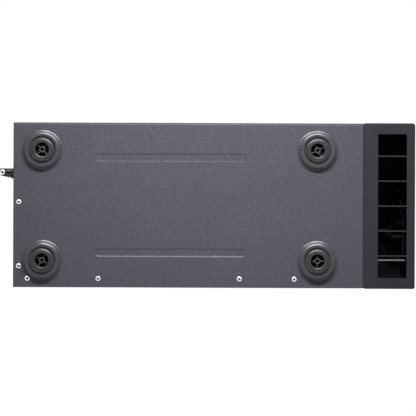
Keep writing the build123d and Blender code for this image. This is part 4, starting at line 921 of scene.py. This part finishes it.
# ---------- cord clamp
@dataclass(frozen=True)
class ClampArm:
    """The cord clamp's fixed half: a wall plate, a barbed peg, and a ribbed, hollowed arm."""

    plate: float = 0.0025
    plate_round: float = 0.0008
    arm_thickness: float = 0.0035
    tip_width: float = 0.0080
    tip_round: float = 0.0020
    rib_middle: float = 0.0031
    rib_half_width: float = 0.0021
    rib_height: float = 0.0011
    rib_along: tuple[float, float] = (0.0006, 0.0092)
    slot_middle: float = 0.0066
    slot_half_width: float = 0.0015
    slot_depth: float = 0.0019
    slot_along: tuple[float, float] = (0.0020, 0.0096)
    end_fade: float = 0.0012
    edge_rise: float = 0.0005
    edge_width: float = 0.0006
    under_points: int = 48
    top_points: int = 12
    peg_radius: float = 0.0026
    barb: float = 0.0009
    barb_start: float = 0.50
    barb_full: float = 0.56
    peg_taper: float = 0.7
    peg_turns: int = 40
    arm_rows: int = 60

    def build(self, palette: Palette) -> None:
        """Build the plate, the peg and the arm as one piece."""
        low, high = limits("clamp_base")
        wall = limits("clamp_strap")[0].y - self.plate
        out = Vector((0, 1, 0))
        middle = (low + high) / 2
        seat = Vector((middle.x, wall, middle.z))
        arm = Piece("clamp_arm", "clamp_plastic", Body.CABINET, ("clamp_base",))
        plate = rounded_box(high.x - low.x, high.z - low.z, self.plate_round)
        arm.add(set_in(drawn(plate, self.plate), seat, out))
        arm.add(set_in(turned(self._peg(wall - low.y), self.peg_turns), seat, -out))
        arm.add(self._arm(high.x - low.x, high.y - wall) + np.array([low.x, wall, low.z]))
        arm.make(palette.get(CLAMP_NYLON))

    def _peg(self, depth: float) -> Grid:
        """Return the peg's profile: straight to half its depth, a barb, then a taper to the end."""
        return eased([
            (0.0, 0.0, 0.0), (self.peg_radius, 0.0, 0.0), (self.peg_radius, depth * self.barb_start, EASED),
            (self.peg_radius + self.barb, depth * self.barb_full, EASED),
            (self.peg_radius * self.peg_taper, depth, SOFT), (0.0, depth, 0.0),
        ])

    def _arm(self, width: float, length: float) -> Grid:
        """Work out the arm, with its free edge at x = 0, its root at y = 0 and its underside at z = 0.

        The width falls evenly from root to tip, and both corners of the tip follow a quarter circle.
        Across the underside, a rib and a slot each add a bump cos^2(pi d / 4w), where d is the distance
        from its middle and w its half width, out to twice that width. Along the arm both fade in and out
        as sin^2. At a distance e from either long edge, the underside rises by edge rise (1 - e / edge
        width)^2, out to the edge width.

        Args:
            width: Width at the root.
            length: Length of the arm.

        Returns:
            A grid of points: along the arm by round its section by three.
        """
        along = np.concatenate([[0.0], np.linspace(0.0, 1.0, self.arm_rows), [1.0]])[:, None] * length
        size = np.ones_like(along)
        size[[0, -1]] = 0.0
        past = np.clip((along - (length - self.tip_round)) / self.tip_round, 0.0, 1.0)
        pulled = self.tip_round * (1.0 - np.sqrt(1.0 - past ** 2))
        left = pulled
        right = width + (self.tip_width - width) * along / length - pulled
        there = np.linspace(0.0, 1.0, self.under_points)
        back = np.linspace(1.0, 0.0, self.top_points)
        share = np.concatenate([there, back])[None, :]
        top = np.concatenate([np.zeros(self.under_points), np.ones(self.top_points)])[None, :]
        x = left + (right - left) * share
        rib = self._bump(x - self.rib_middle, self.rib_half_width) * self._stretch(along, *self.rib_along)
        slot = self._bump(x - self.slot_middle, self.slot_half_width) * self._stretch(along, *self.slot_along)
        edge = np.minimum(x - left, right - x) / self.edge_width
        rise = self.edge_rise * np.clip(1.0 - edge, 0.0, 1.0) ** 2
        under = rise - self.rib_height * rib + self.slot_depth * slot
        z = under + (self.arm_thickness - under) * top
        middle_x, middle_z = (left + right) / 2, self.arm_thickness / 2
        grid = [middle_x + (x - middle_x) * size, along + 0.0 * x, middle_z + (z - middle_z) * size]
        return np.stack(grid, axis=-1)

    @staticmethod
    def _bump(distance: Grid, half_width: float) -> Grid:
        """Return cos^2 of an eighth of a turn per half width, down to nothing at twice the half width."""
        return np.cos(np.clip(distance / half_width, -2.0, 2.0) * math.pi / 4) ** 2

    def _stretch(self, along: Grid, start: float, end: float) -> Grid:
        """Return 1 between a start and an end and 0 outside them, with a sin^2 rise and fall."""
        rise = np.clip((along - start) / self.end_fade, 0.0, 1.0)
        fall = np.clip((end - along) / self.end_fade, 0.0, 1.0)
        return np.sin(rise * fall * math.pi / 2) ** 2


# ---------- fan
@dataclass(frozen=True)
class RoundWireGuard:
    """A finger guard of chromed wire: rings, two crossed bars and four eyelets."""

    wire: float = 0.0008
    ring_radii: tuple[float, ...] = (0.009, 0.018, 0.027, 0.036)
    eyelet_radius: float = 0.0030
    bar_turns: int = 12
    wire_turns: int = 10
    ring_turns: int = 80

    def build(self, palette: Palette) -> None:
        """Build the guard as one piece."""
        middle = middle_of("fan_guard")
        low, high = limits("fan_guard")
        reach = (high.x - low.x) / 2 - self.eyelet_radius - 2 * self.wire
        half_bar = reach * math.sqrt(2) - self.eyelet_radius
        out = Vector((0, 1, 0))
        guard = Piece("finger_guard", "guard_chrome", Body.CABINET, ("fan_guard",))
        for radius in self.ring_radii:
            guard.add(set_in(self._ring(radius), middle, out), Wrap.RING)
        section = turned(np.array([[self.wire, 0.0]]), self.bar_turns)[0, :, :2]
        for way in (Vector((1, 0, 1)), Vector((1, 0, -1))):
            along = way.normalized()
            guard.add(set_in(drawn(section, 2 * half_bar), middle - along * half_bar, along, out))
        for x, z in product((-reach, reach), repeat=2):
            eyelet = middle + Vector((x, 0, z))
            guard.add(set_in(self._ring(self.eyelet_radius), eyelet, out), Wrap.RING)
        guard.make(palette.get(GUARD_CHROME))

    def _ring(self, radius: float) -> Grid:
        """Turn the wire's round section about the Z axis at a radius, which gives a torus."""
        angle = around(self.wire_turns)
        section = np.stack([radius + self.wire * np.cos(angle), self.wire * np.sin(angle)], axis=-1)
        return turned(section, self.ring_turns)


@dataclass(frozen=True)
class Impeller:
    """The fan's rotor: a hub with a rounded edge, and twisted, swept blades."""

    hub_radius: float = 0.016
    dish_share: float = 0.58
    dish_rim_share: float = 0.62
    dish_depth: float = 0.0005
    hub_cut: float = 0.0004
    hub_round: float = 0.0022
    cap_thickness: float = 0.0040
    bore: float = 0.00155
    blades: int = 7
    root_sink: float = 0.0012
    tip_reach: float = 0.0010
    tip_gap: float = 0.0001
    set_back: float = 0.0010
    blade_thickness: float = 0.0016
    root_chord: float = 0.0165
    tip_chord: float = 0.0215
    root_pitch: float = 50.0
    tip_pitch: float = 30.0
    sweep: float = 0.30
    bow: float = 0.08
    hub_turns: int = 80
    blade_rows: int = 18
    section_points: int = 28

    def build(self, palette: Palette) -> None:
        """Build the rotor as one piece."""
        low, high = limits("fan_rotor")
        middle = (low + high) / 2
        depth, tip = high.y - low.y, (high.z - low.z) / 2
        origin, out = Vector((middle.x, low.y, middle.z)), Vector((0, 1, 0))
        rotor = Piece("fan_impeller", "fan_plastic", Body.FAN, ("fan_rotor",))
        rotor.add(set_in(turned(self._hub(depth), self.hub_turns), origin, out))
        for index in range(self.blades):
            grid = self._blade(FULL_TURN * index / self.blades, depth / 2, tip)
            rotor.add(set_in(grid, origin, out))
        rotor.make(palette.get(FAN_PLASTIC))

    def _hub(self, depth: float) -> Grid:
        """Return the hub's profile: a rounded outer edge, a shallow dish and a blind bore."""
        dish = depth - self.dish_depth
        bore_end = depth - self.cap_thickness
        return eased([
            (self.bore, 0.0, 0.0), (self.hub_radius, 0.0, self.hub_cut),
            (self.hub_radius, depth, self.hub_round),
            (self.hub_radius * self.dish_rim_share, depth, self.hub_cut),
            (self.hub_radius * self.dish_share, dish, SOFT), (0.0, dish, 0.0),
            (0.0, bore_end, 0.0), (self.bore, bore_end, 0.0), (self.bore, 0.0, 0.0),
        ])

    def _blade(self, start: float, height: float, tip: float) -> Grid:
        """Work out one blade.

        At share s of the way out, the section is an ellipse of the chord and the thickness. At a distance c
        along the chord it is bowed by bow chord (1 - (2c / chord)^2). It is tilted by the pitch, which falls
        from root to tip, and set at an angle that grows by the sweep times s squared. Both ends close on the
        section's middle.

        Args:
            start: Angle of the blade's root.
            height: Height of the blade's middle along the axis.
            tip: Radius of the tip.

        Returns:
            A grid of points: along the blade by round its section by three.
        """
        s = np.concatenate([[0.0], np.linspace(0.0, 1.0, self.blade_rows), [1.0]])[:, None]
        size = np.ones_like(s)
        size[[0, -1]] = 0.0
        u = around(self.section_points)[None, :]
        radius = (self.hub_radius - self.root_sink) + (tip - self.hub_radius + self.tip_reach) * s
        chord = self.root_chord + (self.tip_chord - self.root_chord) * s
        along = size * chord / 2 * np.cos(u)
        bow = self.bow * chord * (1.0 - (2.0 * along / chord) ** 2)
        across = size * self.blade_thickness / 2 * np.sin(u) + bow
        pitch = np.radians(self.root_pitch + (self.tip_pitch - self.root_pitch) * s)
        round_by = along * np.cos(pitch) - across * np.sin(pitch)
        up_by = along * np.sin(pitch) + across * np.cos(pitch)
        angle = start + self.sweep * s ** 2 + round_by / radius
        radius = np.minimum(radius + 0.0 * u, tip - self.tip_gap)
        x, y = radius * np.cos(angle), radius * np.sin(angle)
        return np.stack([x, y, height + up_by - self.set_back], axis=-1)


# ---------- studio
@dataclass(frozen=True)
class Lamp:
    """A soft lamp that faces a point of the cabinet. Its width lies level, across the line to that point."""

    name: str
    place: Point
    width: float
    height: float
    power: float
    aim: Point = (0.0, 0.0, 0.1)
    spread_degrees: float = 180.0

    def build(self) -> None:
        """Hang the lamp."""
        data = bpy.data.lights.new(self.name, "AREA")
        data.shape = "RECTANGLE"
        data.size, data.size_y = self.width, self.height
        data.energy = self.power
        data.spread = math.radians(self.spread_degrees)
        lamp = bpy.data.objects.new(self.name, data)
        lamp.location = self.place
        lamp.rotation_euler = (Vector(self.aim) - Vector(self.place)).to_track_quat("-Z", "Y").to_euler()
        bpy.context.scene.collection.objects.link(lamp)


LAMPS = (
    Lamp("under_key", (-0.42, -0.02, -0.70), 0.50, 0.09, 1.50, (0.005, -0.01, 0.018), 72.0),
    Lamp("under_fill", (0.5, -0.4, -2.6), 2.4, 2.4, 0.6),
    Lamp("over_key", (-1.6, -1.8, 2.4), 1.4, 1.4, 105.0),
    Lamp("over_fill", (2.0, 1.8, 1.8), 1.8, 1.8, 72.0),
)


@dataclass(frozen=True)
class Studio:
    """White surroundings, soft lamps, a floor that hides nothing from below, and the camera under it."""

    camera_distance: float = 4.8
    sensor: float = 36.0
    view_width: float = 0.4796
    roll_degrees: float = 0.22
    shift_right: float = 0.00705
    shift_up: float = 0.0030
    far_clip: float = 100.0
    floor_size: float = 6.0
    floor_grey: float = 0.86
    fill: float = 0.02

    def build(self) -> None:
        """Build the world, the floor, the lamps and the camera."""
        self._world()
        self._floor()
        for lamp in LAMPS:
            lamp.build()
        self._camera()

    @staticmethod
    def _blend(tree: bpy.types.NodeTree, share: Socket, first: Socket, second: Socket, out: str) -> None:
        """Show a first shader, or a second by a share, at an output of a kind."""
        mix, end = tree.nodes.new("ShaderNodeMixShader"), tree.nodes.new(f"ShaderNodeOutput{out}")
        for source, target in zip((share, first, second), mix.inputs):
            tree.links.new(source, target)
        tree.links.new(mix.outputs["Shader"], end.inputs["Surface"])

    def _world(self) -> None:
        """White to the camera, in reflections and through clear plastic, and an even fill for the rest."""
        world = bpy.data.worlds.new("studio")
        bpy.context.scene.world = world
        world.use_nodes = True
        nodes, links = world.node_tree.nodes, world.node_tree.links
        nodes.clear()
        fill = nodes.new("ShaderNodeBackground")
        fill.inputs["Strength"].default_value = self.fill
        white = nodes.new("ShaderNodeBackground")
        white.inputs["Strength"].default_value = 1.0
        for background in (fill, white):
            background.inputs["Color"].default_value = (1.0, 1.0, 1.0, 1.0)
        path = nodes.new("ShaderNodeLightPath")
        seen = path.outputs["Is Camera Ray"]
        for kind in ("Is Glossy Ray", "Is Transmission Ray"):
            either = nodes.new("ShaderNodeMath")
            either.operation = "MAXIMUM"
            links.new(seen, either.inputs[0])
            links.new(path.outputs[kind], either.inputs[1])
            seen = either.outputs["Value"]
        self._blend(world.node_tree, seen, fill.outputs["Background"], white.outputs["Background"], "World")

    def _floor(self) -> None:
        """A pale floor that the camera sees from above only, and that lets all other light through."""
        half = self.floor_size / 2
        corners = [(-half, -half, 0), (half, -half, 0), (half, half, 0), (-half, half, 0)]
        mesh = bpy.data.meshes.new("floor")
        mesh.from_pydata(corners, [], [(0, 1, 2, 3)])
        floor = bpy.data.objects.new("floor", mesh)
        bpy.context.scene.collection.objects.link(floor)
        material = bpy.data.materials.new("floor_pale")
        material.use_nodes = True
        nodes, links = material.node_tree.nodes, material.node_tree.links
        nodes.clear()
        pale = nodes.new("ShaderNodeBsdfDiffuse")
        pale.inputs["Color"].default_value = (self.floor_grey,) * 3 + (1.0,)
        clear = nodes.new("ShaderNodeBsdfTransparent")
        path = nodes.new("ShaderNodeLightPath")
        sides = nodes.new("ShaderNodeNewGeometry")
        shown = nodes.new("ShaderNodeMath")
        shown.operation = "SUBTRACT"
        shown.use_clamp = True
        links.new(path.outputs["Is Camera Ray"], shown.inputs[0])
        links.new(sides.outputs["Backfacing"], shown.inputs[1])
        tree, share = material.node_tree, shown.outputs["Value"]
        self._blend(tree, share, clear.outputs["BSDF"], pale.outputs["BSDF"], "Material")
        mesh.materials.append(material)

    def _camera(self) -> None:
        """A long lens below the cabinet, looking straight up, with the bezel to the right of the view."""
        data = bpy.data.cameras.new("camera")
        data.sensor_width = self.sensor
        data.lens = self.sensor * self.camera_distance / self.view_width
        data.clip_end = self.far_clip
        camera = bpy.data.objects.new("camera", data)
        case_low, case_high = limits("case_shell")
        bezel_low, _ = limits("bezel")
        middle = Vector(((case_low.x + case_high.x) / 2, (bezel_low.y + case_high.y) / 2, case_low.z))
        right, up, back = Vector((0, -1, 0)), Vector((-1, 0, 0)), Vector((0, 0, -1))
        target = middle - right * self.shift_right - up * self.shift_up
        roll = Matrix.Rotation(math.radians(self.roll_degrees), 3, "Z")
        axes = (Matrix((right, up, back)).transposed() @ roll).to_4x4()
        camera.matrix_world = Matrix.Translation(target + back * self.camera_distance) @ axes
        bpy.context.scene.collection.objects.link(camera)
        bpy.context.scene.camera = camera


SPOKE_TURNS = (45.0, 63.0, 30.0, 0.0)
SCREW_SETS = (
    ScrewSet("floor_screw_heads", "floor_screws", (0.0, 0.0, -1.0)),
    ScrewSet("roof_screw_heads", "roof_screws", (0.0, 0.0, 1.0), 0.0010),
    ScrewSet("panel_screw_heads", "panel_screws", (0.0, 1.0, 0.0), 0.0016),
    ScrewSet("clamp_screw_head", "clamp_screw", (0.0, 0.0, -1.0), 0.0022),
    ScrewSet("earth_screw_head", "earth_screw", (0.0, 1.0, 0.0), 0.0024),
)


def main() -> None:
    """Dress the frame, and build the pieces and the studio."""
    logging.basicConfig(level=logging.INFO, format="%(name)s: %(message)s")
    bpy.context.scene.view_settings.view_transform = "Standard"
    palette = Palette()
    Studio().build()
    palette.dress_frame()
    feet = [LevellingFoot(number, turn) for number, turn in enumerate(SPOKE_TURNS, start=1)]
    for part in (*feet, *SCREW_SETS, ClampArm(), RoundWireGuard(), Impeller()):
        part.build(palette)


if __name__ == "__main__":
    main()
